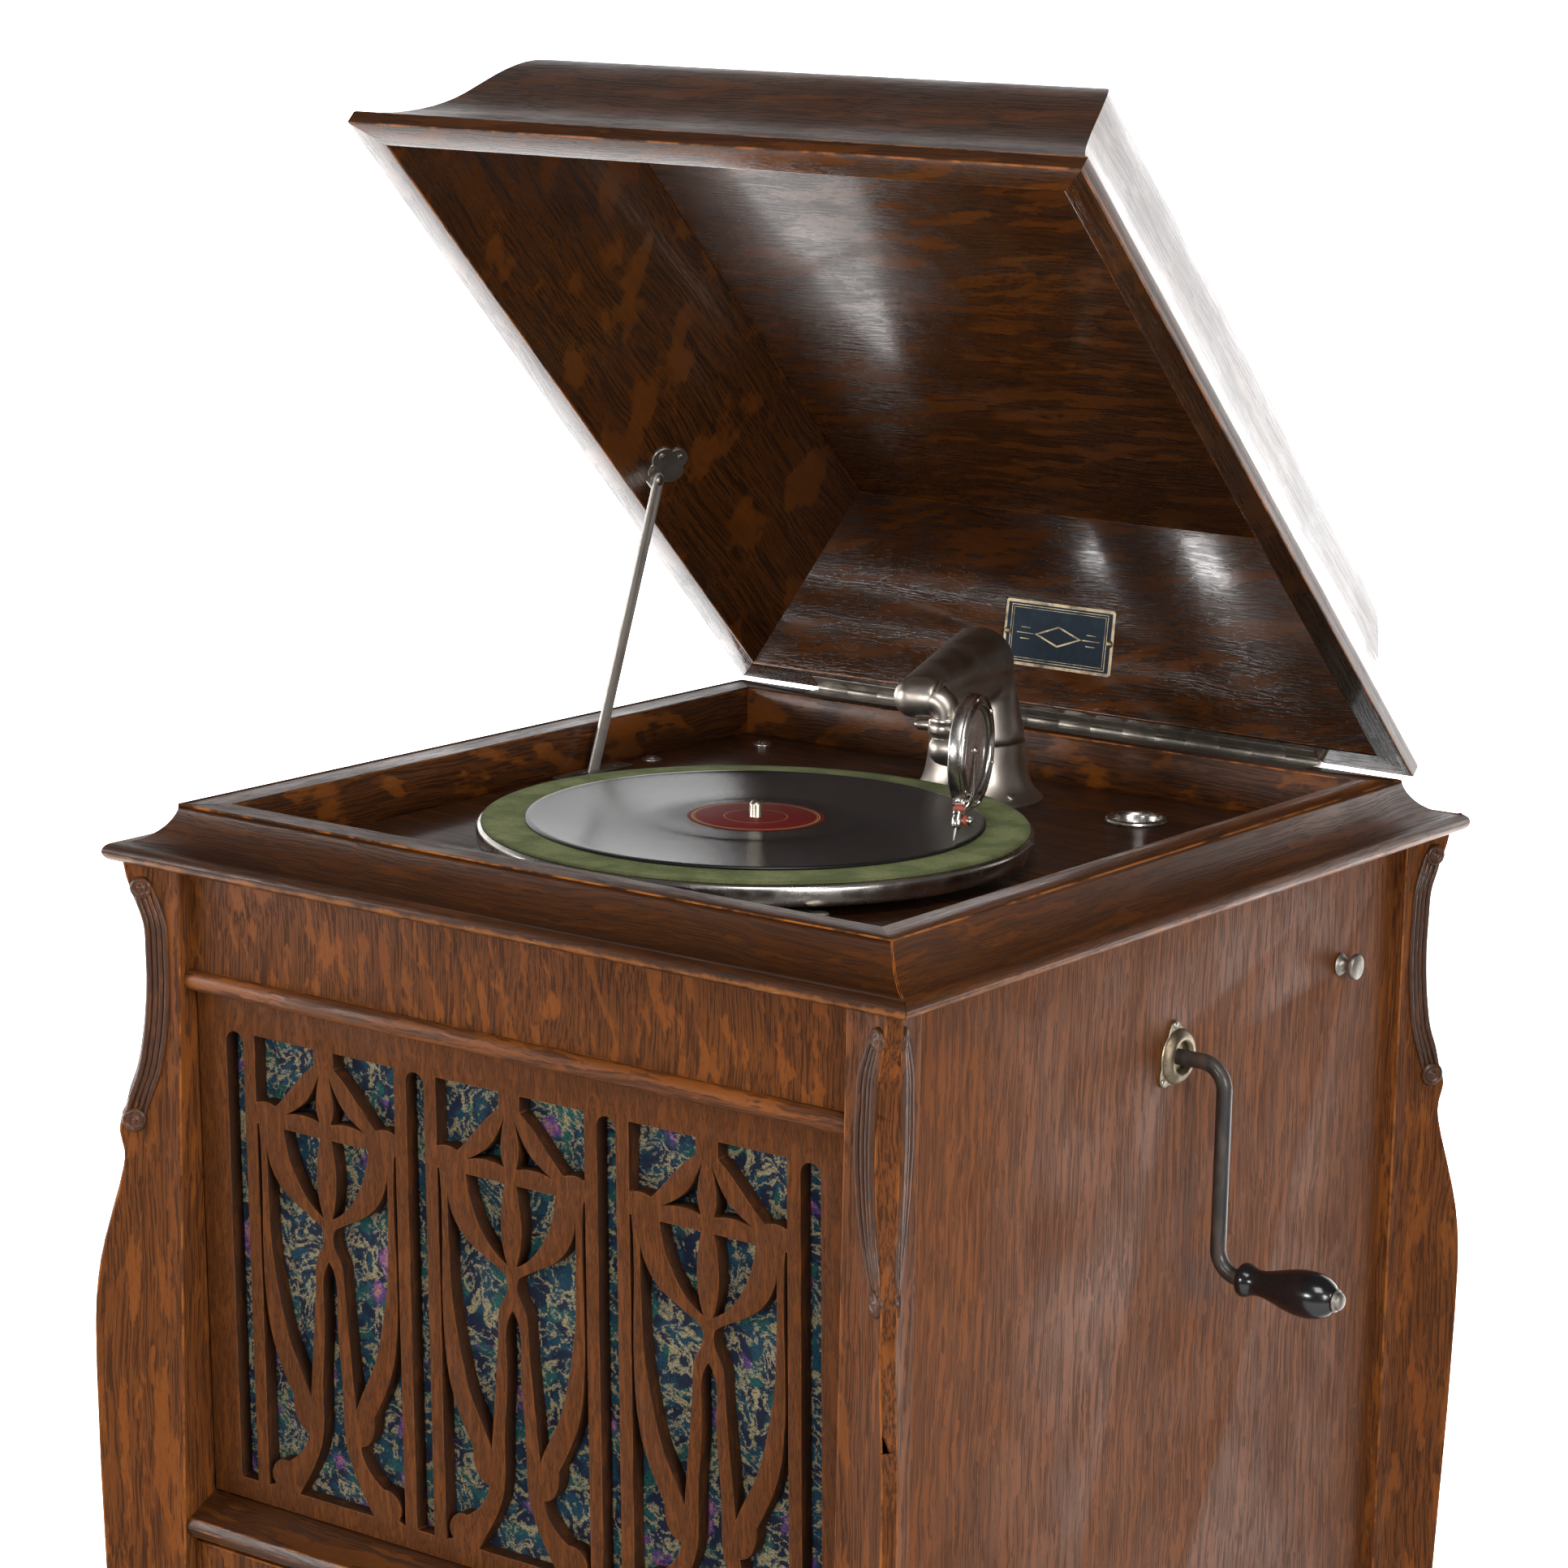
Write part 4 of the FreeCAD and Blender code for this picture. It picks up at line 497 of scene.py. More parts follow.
HANDLE_BLACK = lacquer("handle_black", (0.007, 0.007, 0.008), (0.03, 0.026, 0.023), 0.62, 0.8, 0.16, 50)
FELT = felt_paint()
SHELLAC = record_paint()
LABEL = label_paint()
BROCADE = brocade_paint()
MICA = mica_paint()
PLATE_BLUE = enamel_plate_paint()
FIBRE_RED = fibre_paint("fibre_red", (0.42, 0.075, 0.035), (0.22, 0.03, 0.018))
RUBBER_BLACK = fibre_paint("rubber_black", (0.02, 0.018, 0.016), (0.05, 0.045, 0.04))
SPINDLE_METAL = metal("spindle_nickel", (0.62, 0.55, 0.42), (0.35, 0.29, 0.2), 0.2, 0.15, 0.4, 80)


# ---------------------------------------------------------------- mesh building


def axes_to(at, axis, spin=0.0):
    """A matrix that puts local +Z along axis at a point, turned about it by spin degrees."""
    turn = Vector(axis).normalized().to_track_quat("Z", "Y").to_matrix().to_4x4()
    return Matrix.Translation(at) @ turn @ Matrix.Rotation(radians(spin), 4, "Z")


def set_at(at, x_way, y_way, z_way):
    """A matrix that brings the local axes to three directions at a point."""
    matrix = Matrix((x_way, y_way, z_way)).transposed().to_4x4()
    matrix.translation = at
    return matrix


def on_circle(radius, angle, height=0.0):
    """A point of a circle about local Z; the angle is in radians."""
    return Vector((radius * cos(angle), radius * sin(angle), height))


def bend(corner, into, out, radius, steps):
    """Points of the quarter turn that rounds a corner of a rod."""
    angles = [pi / 2 * step / steps for step in range(steps + 1)]
    return [corner - into * radius * (1 - sin(angle)) + out * radius * (1 - cos(angle)) for angle in angles]


def curve_through(points, count):
    """A smooth run of points through the given ones, as a Catmull-Rom curve."""
    points = [Vector(point) for point in points]
    ends = [points[0] * 2 - points[1]] + points + [points[-1] * 2 - points[-2]]
    found = []
    for number in range(len(points) - 1):
        before, start, stop, after = ends[number:number + 4]
        for step in range(count):
            part = step / count
            found.append(0.5 * (2 * start + (stop - before) * part
                + (2 * before - 5 * start + 4 * stop - after) * part ** 2
                + (3 * start - before - 3 * stop + after) * part ** 3))
    return found + [points[-1]]


class Builder:
    """A mesh in millimetres, made of lathed, swept and flat parts, each with a material number."""

    def __init__(self):
        self.mesh = bmesh.new()

    def rings(self, rows, closed=False, capped=False, material=0):
        """Faces between rows of points. A row of one point is a pole."""
        made = [[self.mesh.verts.new(point) for point in row] for row in rows]
        pairs = list(zip(made, made[1:]))
        if closed:
            pairs.append((made[-1], made[0]))
        for low, high in pairs:
            count = max(len(low), len(high))
            for number in range(count):
                after = (number + 1) % count
                corners = [low[number % len(low)], low[after % len(low)], high[after % len(high)],
                    high[number % len(high)]]
                corners = list(dict.fromkeys(corners))
                if len(corners) > 2:
                    self.mesh.faces.new(corners).material_index = material
        if capped:
            self.mesh.faces.new(made[0][::-1]).material_index = material
            self.mesh.faces.new(made[-1]).material_index = material
        return self

    def lathe(self, outline, matrix, steps=64, closed=False, material=0):
        """Turns (radius, height) points about local Z. A closed outline makes a ring."""
        rows = []
        for radius, height in outline:
            if radius < 1e-6:
                rows.append([matrix @ Vector((0, 0, height))])
            else:
                rows.append([matrix @ on_circle(radius, 2 * pi * number / steps, height)
                    for number in range(steps)])
        return self.rings(rows, closed, material=material)

    def sweep(self, path, radii, steps=20, flat=1.0, side=None, material=0):
        """A tube along a path; radii is one number or one for each point; flat squeezes it across side."""
        path = [Vector(point) for point in path]
        count = len(path)
        sizes = radii if isinstance(radii, (list, tuple)) else [radii] * count
        normal = Vector(side) if side is not None else None
        rows = []
        for number, point in enumerate(path):
            ahead = path[min(number + 1, count - 1)] - path[max(number - 1, 0)]
            ahead.normalize()
            if normal is None:
                normal = ahead.orthogonal()
            normal = (normal - ahead * normal.dot(ahead)).normalized()
            other = ahead.cross(normal)
            angles = [2 * pi * turn / steps for turn in range(steps)]
            rows.append([point + (normal * (flat * cos(angle)) + other * sin(angle)) * sizes[number]
                for angle in angles])
        return self.rings(rows, capped=True, material=material)

    def plate(self, outline, matrix, thick, bevel=0.0, material=0):
        """A flat plate from an outline in local XY, with its upper edges eased by bevel."""
        rows = [[matrix @ Vector((x, y, 0)) for x, y in outline]]
        middle = Vector((sum(x for x, _ in outline), sum(y for _, y in outline))) / len(outline)
        rows.append([matrix @ Vector((x, y, thick - bevel)) for x, y in outline])
        if bevel:
            inner = []
            for x, y in outline:
                away = Vector((x, y)) - middle
                shrunk = middle + away * (1 - bevel / max(away.length, bevel))
                inner.append(matrix @ Vector((shrunk.x, shrunk.y, thick)))
            rows.append(inner)
        return self.rings(rows, capped=True, material=material)

    def block(self, low, high, matrix, bevel=0.4, material=0):
        """A box with eased edges."""
        box = bmesh.new()
        bmesh.ops.create_cube(box, size=1)
        for vert in box.verts:
            vert.co = Vector((low[axis] + (vert.co[axis] + 0.5) * (high[axis] - low[axis])
                for axis in range(3)))
        bmesh.ops.bevel(box, geom=box.edges[:], offset=bevel, segments=2, profile=0.6, affect="EDGES")
        box.transform(matrix)
        return self.take(box, material)

    def take(self, other, material):
        """Adds another bmesh, whole."""
        for face in other.faces:
            face.material_index = material
        spare = bpy.data.meshes.new("spare")
        other.to_mesh(spare)
        other.free()
        self.mesh.from_mesh(spare)
        bpy.data.meshes.remove(spare)
        return self

    def screw(self, at, axis, radius, spin=0.0, dome=0.32, material=0):
        """A slotted screw with a low round head."""
        head = bmesh.new()
        part = Builder()
        outline = [(radius, -0.2), (radius, 0.08 * radius)]
        for step in range(1, 7):
            angle = step / 6 * pi / 2
            outline.append((radius * 0.96 * cos(angle), (0.08 + dome * sin(angle)) * radius))
        outline[-1] = (0, outline[-1][1])
        part.lathe(outline, Matrix.Identity(4), 20)
        spare = part.to_data("spare")
        head.from_mesh(spare)
        bpy.data.meshes.remove(spare)
        slot = radius * 0.14
        for side in (-1, 1):
            bmesh.ops.bisect_plane(head, geom=head.verts[:] + head.edges[:] + head.faces[:],
                plane_co=(side * slot, 0, 0), plane_no=(1, 0, 0))
        inside = [face for face in head.faces if abs(face.calc_center_median().x) < slot * 0.98
            and face.calc_center_median().z > 0.05 * radius]
        grown = bmesh.ops.extrude_face_region(head, geom=inside)["geom"]
        bmesh.ops.delete(head, geom=inside, context="FACES")
        for vert in (item for item in grown if isinstance(item, bmesh.types.BMVert)):
            vert.co.z -= 0.22 * radius
        head.transform(axes_to(at, axis, spin))
        return self.take(head, material)

    def to_data(self, name):
        bmesh.ops.recalc_face_normals(self.mesh, faces=self.mesh.faces)
        data = bpy.data.meshes.new(name)
        self.mesh.to_mesh(data)
        self.mesh.free()
        return data

    def done(self, name, body, materials, nodes=(), sharp=32, origin=None):
        """The finished piece in metres, riding on its body and standing for the named nodes."""
        data = self.to_data(name)
        data.transform(Matrix.Scale(MM, 4))
        return piece(name, data, body, materials, nodes, sharp, origin)


def piece(name, data, body, materials, nodes=(), sharp=32, origin=None):
    """Makes an object of a mesh in metres, shades it and hands it to the frame.

    A piece given an origin in millimetres is built about it, so that its paint can follow its circles.
    """
    data.name = name
    for material in materials if isinstance(materials, (list, tuple)) else [materials]:
        data.materials.append(material)
    data.polygons.foreach_set("use_smooth", [True] * len(data.polygons))
    data.set_sharp_from_angle(angle=radians(sharp))
    thing = bpy.data.objects.new(name, data)
    bpy.context.scene.collection.objects.link(thing)
    if origin is not None:
        thing.location = origin * MM
        bpy.context.view_layer.update()
    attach(thing, body)
    if nodes:
        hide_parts(*nodes)
    return thing


def eased(node, body, materials, width, choose=None, angle=30):
    """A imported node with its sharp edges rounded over; the rounded strips carry the edge value 1."""
    mesh = bmesh.new()
    mesh.from_mesh(frame["nodes"][node].data)
    bmesh.ops.remove_doubles(mesh, verts=mesh.verts, dist=0.00002)
    bmesh.ops.dissolve_limit(mesh, angle_limit=radians(0.4), verts=mesh.verts, edges=mesh.edges)
    limit = radians(angle)
    edges = [edge for edge in mesh.edges if len(edge.link_faces) == 2 and edge.calc_face_angle(0) > limit]
    made = bmesh.ops.bevel(mesh, geom=edges, offset=width * MM, segments=2, profile=0.5, affect="EDGES",
        clamp_overlap=False)
    layer = mesh.loops.layers.float.new("edge")
    for face in made["faces"]:
        if face.is_valid:
            for loop in face.loops:
                loop[layer] = 1.0
    for face in mesh.faces:
        face.material_index = choose(face.calc_center_median() / MM, face.normal) if choose else 0
    data = bpy.data.meshes.new(node)
    mesh.to_mesh(data)
    mesh.free()
    return piece(node + "_eased", data, body, materials, (node,), 35)


def fused(name, builder, body, materials, nodes, cell):
    """Overlapping closed parts melted into one casting, with a fillet grown in every inner corner."""
    rough = bpy.data.objects.new(name + "_rough", builder.to_data(name))
    bpy.context.scene.collection.objects.link(rough)
    melt = rough.modifiers.new("melt", "REMESH")
    melt.mode = "VOXEL"
    melt.voxel_size = cell
    seen = rough.evaluated_get(bpy.context.evaluated_depsgraph_get())
    solid = bpy.data.meshes.new_from_object(seen)
    bpy.data.objects.remove(rough)
    solid.materials.clear()
    count = len(solid.vertices)
    ends = np.empty(2 * len(solid.edges), dtype=np.int64)
    solid.edges.foreach_get("vertices", ends)
    first, second = ends[0::2], ends[1::2]
    share = 1 / np.bincount(ends, minlength=count)
    points = np.empty(3 * count)
    solid.vertices.foreach_get("co", points)
    points = points.reshape(-1, 3)
    for number in range(60):
        if number % 10 == 0:
            solid.vertices.foreach_set("co", points.ravel())
            solid.update()
            outward = np.empty(3 * count)
            solid.vertices.foreach_get("normal", outward)
            outward = outward.reshape(-1, 3)
        pull = np.stack([np.bincount(first, points[second, axis], count)
            + np.bincount(second, points[first, axis], count) for axis in range(3)], axis=1)
        pull = pull * share[:, None] - points
        hollow = np.einsum("ij,ij->i", pull, outward) > 0
        points = points + pull * np.where(hollow, 0.7, 0.7 if number < 5 else 0.06)[:, None]
    solid.vertices.foreach_set("co", points.ravel())
    solid.transform(Matrix.Scale(MM, 4))
    return piece(name, solid, body, materials, nodes, 60)


# ---------------------------------------------------------------- cabinet


def cabinet():
    half_wide = high_of("cornice").x
    half_deep = high_of("cornice").y

    def cornice_material(centre, normal):
        in_well = abs(centre.x) < half_wide - WELL_IN_WIDE and abs(centre.y) < half_deep - WELL_IN_DEEP
        inside = in_well and abs(normal.z) < 0.3
        on_side = abs(centre.x) - half_wide > abs(centre.y) - half_deep
        return (1 if on_side else 0) + (2 if inside else 0)
    # Front and back faces take the cove copy painted in shade, the sides take the copy painted lighter, and
    # the well's walls take their own oak.
    eased("cornice", "case", [OAK_COVE_X_SHADED, OAK_COVE_Y_LIT, OAK_WELL_X, OAK_WELL_Y], 0.8,
        cornice_material)
    for node, wood, width in (("corner_posts_front", OAK_POST, 0.9), ("corner_posts_back", OAK_POST, 0.9),
            ("side_panel_left", OAK_PANEL, 0.5), ("side_panel_right", OAK_PANEL, 0.5),
            ("back_panel", PLAIN_WOOD, 0.5), ("frieze_board", OAK_FRIEZE, 0.5),
            ("grille_bead", OAK_BEAD, 0.5), ("grille_rail", OAK_RAIL, 0.6), ("base_rails", OAK_POST, 0.8),
            ("motor_board", OAK_BOARD, 0.6)):
        eased(node, "case", wood, width)

    # Faces that run across the panel are the cut walls, and they take the oak painted in shade.
    def fret_material(_, normal):
        return 1 if abs(normal.y) < 0.5 else 0
    eased("grille_panel", "case", [OAK_FRET, FRET_WALL_SHADED], 0.5, fret_material, 50)
    eased("shelves", "case", PLAIN_WOOD, 0.6)
    for node in ("record_dividers", "board_cleats", "horn_flare"):
        eased(node, "case", PLAIN_WOOD, 0.5)


def grille_cloth():
    """Cloth pulled flat behind the fretwork, with the slack ripple of old tacked fabric."""
    low, high = low_of("grille_cloth"), high_of("grille_cloth")
    lean = atan2(high.y - low.y - 1, high.z - low.z)
    across, up = 60, 64
    rows = []
    for row in range(up + 1):
        line = []
        for column in range(across + 1):
            x = low.x + (high.x - low.x) * column / across
            rise = (high.z - low.z) * row / up
            ripple = 0.22 * sin(x * 0.11) * sin(rise * 0.05 + x * 0.02)
            line.append(Vector((x, high.y - 0.6 - rise * tan(lean) + ripple, low.z + rise)))
        rows.append(line)
    mesh = Builder()
    grid = [[mesh.mesh.verts.new(point) for point in line] for line in rows]
    for row in range(up):
        for column in range(across):
            mesh.mesh.faces.new((grid[row][column], grid[row][column + 1], grid[row + 1][column + 1],
                grid[row + 1][column]))
    cloth = mesh.done("grille_cloth_woven", "case", BROCADE, ("grille_cloth",))


def fin_face(reach):
    """How far the swept face of a post's fin stands from its middle plane, and its tilt, at a reach."""
    behind = FIN_START - reach
    if behind < 0:
        return FIN_HALF, 0.0
    return FIN_HALF + FIN_SWEEP - sqrt(FIN_SWEEP ** 2 - behind ** 2), asin(behind / FIN_SWEEP)


def scroll(builder, corner_x, corner_y):
    """The reeded C-scrolls on both faces of one post's fin."""
    along = Vector((copysign(1, corner_x), copysign(1, corner_y), 0)).normalized()
    nose = [(893, 12), (906, 8), (920, 3.5), (942, 0.2), (965, -1.2), (985, -0.8), (1000, 0), (1012, 3.5),
        (1022, 7)]
    corner = Vector((corner_x, corner_y, 0))
    for hand in (-1, 1):
        normal = Vector((-along.y, along.x, 0)) * hand
        for lane, thick in ((1.7, 2.0), (5.0, 1.7), (8.0, 1.7), (11.2, 1.9)):
            path = [corner + along * (reach - lane) + normal * (fin_face(reach - lane)[0] + 0.1) + UP * height
                for height, reach in nose]
            path = curve_through(path, 6)
            sizes = [thick * min(1.0, 0.55 + 4 * min(number, len(path) - 1 - number) / len(path))
                for number in range(len(path))]
            builder.sweep(path, sizes, 12)
        for height, reach, wide in ((1021, 1.0, 6.4), (890, 6.0, 7.0)):
            stand, tilt = fin_face(reach)
            centre = corner + along * reach + normal * (stand - 0.5) + UP * height
            facing = normal * cos(tilt) + along * sin(tilt)
            disc = [(0, 3.4), (1.5, 3.2), (2.3, 2.2), (wide * 0.55, 2.0), (wide * 0.72, 2.9),
                (wide * 0.9, 2.6), (wide, 1.4), (wide, 0), (0, 0)]
            builder.lathe(disc, axes_to(centre, facing), 32)


def scrolls():
    builder = Builder()
    for x in (-POST_OUT.x, POST_OUT.x):
        for y in (-POST_OUT.y, POST_OUT.y):
            scroll(builder, x, y)
    builder.done("post_scrolls_reeded", "case", CARVED, ("post_scrolls",), 50)


def doors():
    for side, body in (("left", "door_left"), ("right", "door_right")):
        node = f"door_{side}"
        eased(node, body, OAK_FRIEZE, 0.8)
        low, high = low_of(node), high_of(node)
        builder = Builder()
        face_y = low.y + 4.0
        side_gap, end_gap = 45, 55
        outline = [(0, 0.2), (0, -3.2), (1.6, -4.1), (3.6, -3.4), (5.2, -1.6), (7.6, -1.1), (8.8, 0.2)]
        rows = []
        for x, z, right, up in ((low.x + side_gap, low.z + end_gap, 1, 1),
                (high.x - side_gap, low.z + end_gap, -1, 1), (high.x - side_gap, high.z - end_gap, -1, -1),
                (low.x + side_gap, high.z - end_gap, 1, -1)):
            rows.append([Vector((x + right * inner, face_y + rise, z + up * inner)) for inner,
                rise in outline])
        builder.rings(rows, closed=True)
        builder.done(f"door_moulding_{side}", body, OAK_BEAD, (), 30)
        pull = Builder()
        knob_low, knob_high = low_of(f"door_pull_{side}"), high_of(f"door_pull_{side}")
        centre = Vector(((knob_low.x + knob_high.x) / 2, knob_high.y, (knob_low.z + knob_high.z) / 2))
        pull.lathe([(0, 0), (7.5, 0), (7.4, 0.9), (6.6, 1.6), (4.2, 2.4), (3.4, 4), (3.2, 8), (4.4, 10.6),
            (7.2, 12.6), (8.7, 15), (8.9, 17), (8.2, 19), (6.4, 20.6), (3.4, 21.7), (0, 22)],
            axes_to(centre, (0, -1, 0)), 48)
        pull.done(f"door_pull_turned_{side}", body, BRASS_AGED, (f"door_pull_{side}",))


def door_hinges():
    """Knuckles of the two butt hinges on each door."""
    builder = Builder()
    y = (low_of("door_hinges").y + high_of("door_hinges").y) / 2
    outline = [(0, 0.2)]
    for start in (0, 20, 40):
        outline += [(2.3, start + 0.2), (2.8, start + 0.7), (2.8, start + 19.3), (2.3, start + 19.8)]
    outline.append((0, 59.8))
    for x in (-218.6, 218.6):
        for low in (150, 560):
            builder.lathe(outline, Matrix.Translation((x, y, low)), 24)
    builder.done("door_hinge_knuckles", "case", BRASS_AGED, ("door_hinges",))


# ---------------------------------------------------------------- fittings on the board and the side


def escutcheon():
    """Crank plate: a raised ring in a three-lobed flange held by three screws."""
    at = axes_to(Vector((PANEL_OUT, CRANK.y, CRANK.z)), RIGHT)
    builder = Builder()
    outline = []
    for number in range(72):
        angle = 2 * pi * number / 72
        lobe = max(0.0, cos(3 * (angle - radians(100)))) ** 2
        outline.append(on_circle(15.8 + 5.0 * lobe, angle).xy)
    builder.plate(outline, at, 1.5, 0.6)
    builder.lathe([(15.4, 1.2), (15.2, 2.0), (14.2, 3.6), (12.8, 4.9), (11.2, 5.5), (9.8, 5.4), (8.8, 4.6),
        (8.2, 3.0), (8.0, 0.5), (4.6, 0.4), (4.6, 0.2), (15.4, 0.2)], at, 64, closed=True)
    for angle in (100, 220, 340):
        builder.screw(at @ on_circle(18.2, radians(angle), 1.5), RIGHT, 2.0, angle * 1.7, material=1)
    builder.done("escutcheon_ring", "case", [BRASS_AGED, STEEL], ("escutcheon",))


def crank():
    """Bent enamelled rod, and a turned handle that spins on its end."""
    curve = 14
    arm_x = low_of("crank_handle").x - 14.8
    shaft = Vector((arm_x, CRANK.y, CRANK.z))
    wrist = Vector((arm_x, CRANK.y, GRIP.z))
    straight = CRANK.z - GRIP.z - 2 * curve
    path = [shaft.xyz, shaft - RIGHT * (curve + 4)] + bend(shaft, RIGHT, -UP, curve, 8)
    path[0].x = PANEL_OUT - 2
    path += [shaft - UP * (curve + straight * step / 12) for step in range(1, 12)]
    path += bend(wrist, -UP, RIGHT, curve, 8) + [wrist + RIGHT * (curve + 1)]
    builder = Builder()
    builder.sweep(path, 4.35, 28)
    at = axes_to(Vector((high_of("crank_arm").x - 3.2, CRANK.y, GRIP.z)), RIGHT)
    builder.lathe([(3.3, -6), (3.3, -0.4), (6.0, -0.4), (6.1, 0.3), (5.2, 1.0), (4.9, 1.2), (4.6, 2.6),
        (3.6, 3.5), (2.0, 4.1), (0, 4.3)], at, 40, material=1)
    builder.done("crank_rod", "crank", [CRANK_BLACK, NICKEL_OLD], ("crank_arm",))
    handle = Builder()
    start = axes_to(Vector((low_of("crank_handle").x, CRANK.y, GRIP.z)), RIGHT)
    handle.lathe([(4.5, 0.3), (7.4, 0), (8.6, 0.6), (9.25, 2.0), (9.3, 3.4), (8.9, 5.2), (7.9, 7.2),
        (7.2, 9.2), (7.0, 11.4), (7.2, 14), (8.0, 18), (9.4, 23), (11.0, 28.5), (12.2, 34), (12.8, 39),
        (12.7, 44), (11.8, 48.6), (10.2, 52.3), (8.2, 55.2), (6.6, 56.8), (6.4, 57.3), (3.7, 57.3)], start,
        64)
    handle.done("crank_grip_turned", "crank_grip", HANDLE_BLACK, ("crank_handle",), 40)


def tone_knob():
    at = axes_to(Vector((low_of("tone_knob").x, TONE.y, TONE.z)), RIGHT)
    builder = Builder()
    builder.lathe([(0, 0), (6.4, 0), (6.5, 0.7), (5.8, 1.5), (4.4, 2.1), (3.5, 3.2), (3.1, 4.8), (3.2, 6.6),
        (4.4, 7.9), (6.9, 8.6), (7.5, 9.3), (7.5, 10.6), (6.9, 11.6), (5.0, 12.4), (2.4, 12.9), (0, 13.0)],
        at, 48)
    builder.done("tone_knob_turned", "tone", NICKEL_OLD, ("tone_knob",))


def board_fittings():
    """Needle cup, board screws, the stay's slot plate and the two levers."""
    low, high = low_of("needle_cup"), high_of("needle_cup")
    middle = (low + high) / 2
    middle.z = BOARD
    at = Matrix.Translation(middle)
    cup = Builder()
    cup.lathe([(18.2, 0.1), (18.4, 0.8), (17.9, 1.9), (16.8, 2.5), (15.5, 2.4), (14.6, 1.6), (14.1, 0),
        (13.4, -3.4), (11.2, -7.0), (7.6, -9.4), (3.6, -10.4), (0, -10.6), (0, -11.6), (8.6, -10.6),
        (12.6, -7.6), (14.8, -3), (15.1, 0.05)], at, 72)
    cup.done("needle_cup_pressed", "case", NICKEL_BRIGHT, ("needle_cup",))
    screws = Builder()
    for x, y, spin in ((-185.7, 208.9, 20), (-208, 126, 75), (185.7, 208.9, 50), (-185.7, -208.9, 110),
            (185.7, -208.9, 160)):
        at_screw = Vector((x, y, BOARD))
        screws.lathe([(6.4, -0.2), (6.3, 0.5), (5.2, 1.0), (4.4, 0.6), (0, 0.5)],
            Matrix.Translation(at_screw), 32)
        screws.screw(at_screw + UP * 0.6, UP, 4.1, spin, 0.4)
    screws.done("board_screws_slotted", "case", NICKEL, ("board_screws",))
    eased("stay_guide", "case", NICKEL_OLD, 0.3)
    eased("brake_lever", "brake", NICKEL, 0.4)
    eased("speed_lever", "speed", NICKEL, 0.4)


# ---------------------------------------------------------------- turntable and record


def turntable():
    centre = Matrix.Translation((SPINDLE.x, SPINDLE.y, 0))
    top, under = high_of("turntable").z, low_of("turntable").z
    reach = high_of("turntable").x
    builder = Builder()
    rim = [(3.2, 0.1), (1.4, 0.5), (0.4, 1.5), (0, 3.0), (0, 7.2), (0.3, 9.4), (1.3, 11.3), (2.8, 12.3),
        (4.2, top - under), (5.4, top - under - 0.8), (5.8, 9), (6, 4)]
    outline = [(12, top - 0.1)] + [(reach - inward, top - drop) for inward, drop in rim] + [(12, top - 4)]
    builder.lathe(outline, centre, 256, closed=True)
    builder.done("turntable_plated", "turntable", NICKEL_BRIGHT, ("turntable",), 40)
    cloth = Builder()
    edge = high_of("turntable_felt").x
    felt_top = high_of("turntable_felt").z
    rows = [(4.8, felt_top - 0.1)]
    rows += [(radius, felt_top) for radius in range(12, int(edge) - 2, 6)]
    rows += [(edge - 0.9, felt_top - 0.05), (edge - 0.2, felt_top - 0.5), (edge, felt_top - 1.1),
        (edge - 0.1, felt_top - 1.55), (4.8, felt_top - 1.55)]
    cloth.lathe(rows, centre, 256, closed=True)
    felt = cloth.done("turntable_baize", "turntable", FELT, ("turntable_felt",), 60)


def record():
    """A ten inch disc, raised at its rim and round the label, spun about its own origin."""
    reach = high_of("record").x
    disc = Builder()
    axis = Vector((SPINDLE.x, SPINDLE.y, RECORD_TOP))
    outline = [(3.7, -0.1), (46, -0.1), (47.5, 0), (60, -0.15), (62, -0.35), (reach - 5, -0.35),
        (reach - 3.4, -0.1), (reach - 1.6, 0), (reach - 0.5, -0.3), (reach, -1.0), (reach - 0.5, -1.7),
        (reach - 1.6, -1.95), (3.7, -1.95)]
    disc.lathe(outline, Matrix.Identity(4), 256, closed=True)
    disc.done("record_pressed", "turntable", SHELLAC, ("record",), 35, axis)
    label = Builder()
    label.lathe([(3.7, 0.0), (37.6, 0.0), (38, -0.12), (3.7, -0.12)], Matrix.Identity(4), 128, closed=True)
    label.done("record_label", "turntable", LABEL, (), 35, axis)


# ---------------------------------------------------------------- tonearm and soundbox


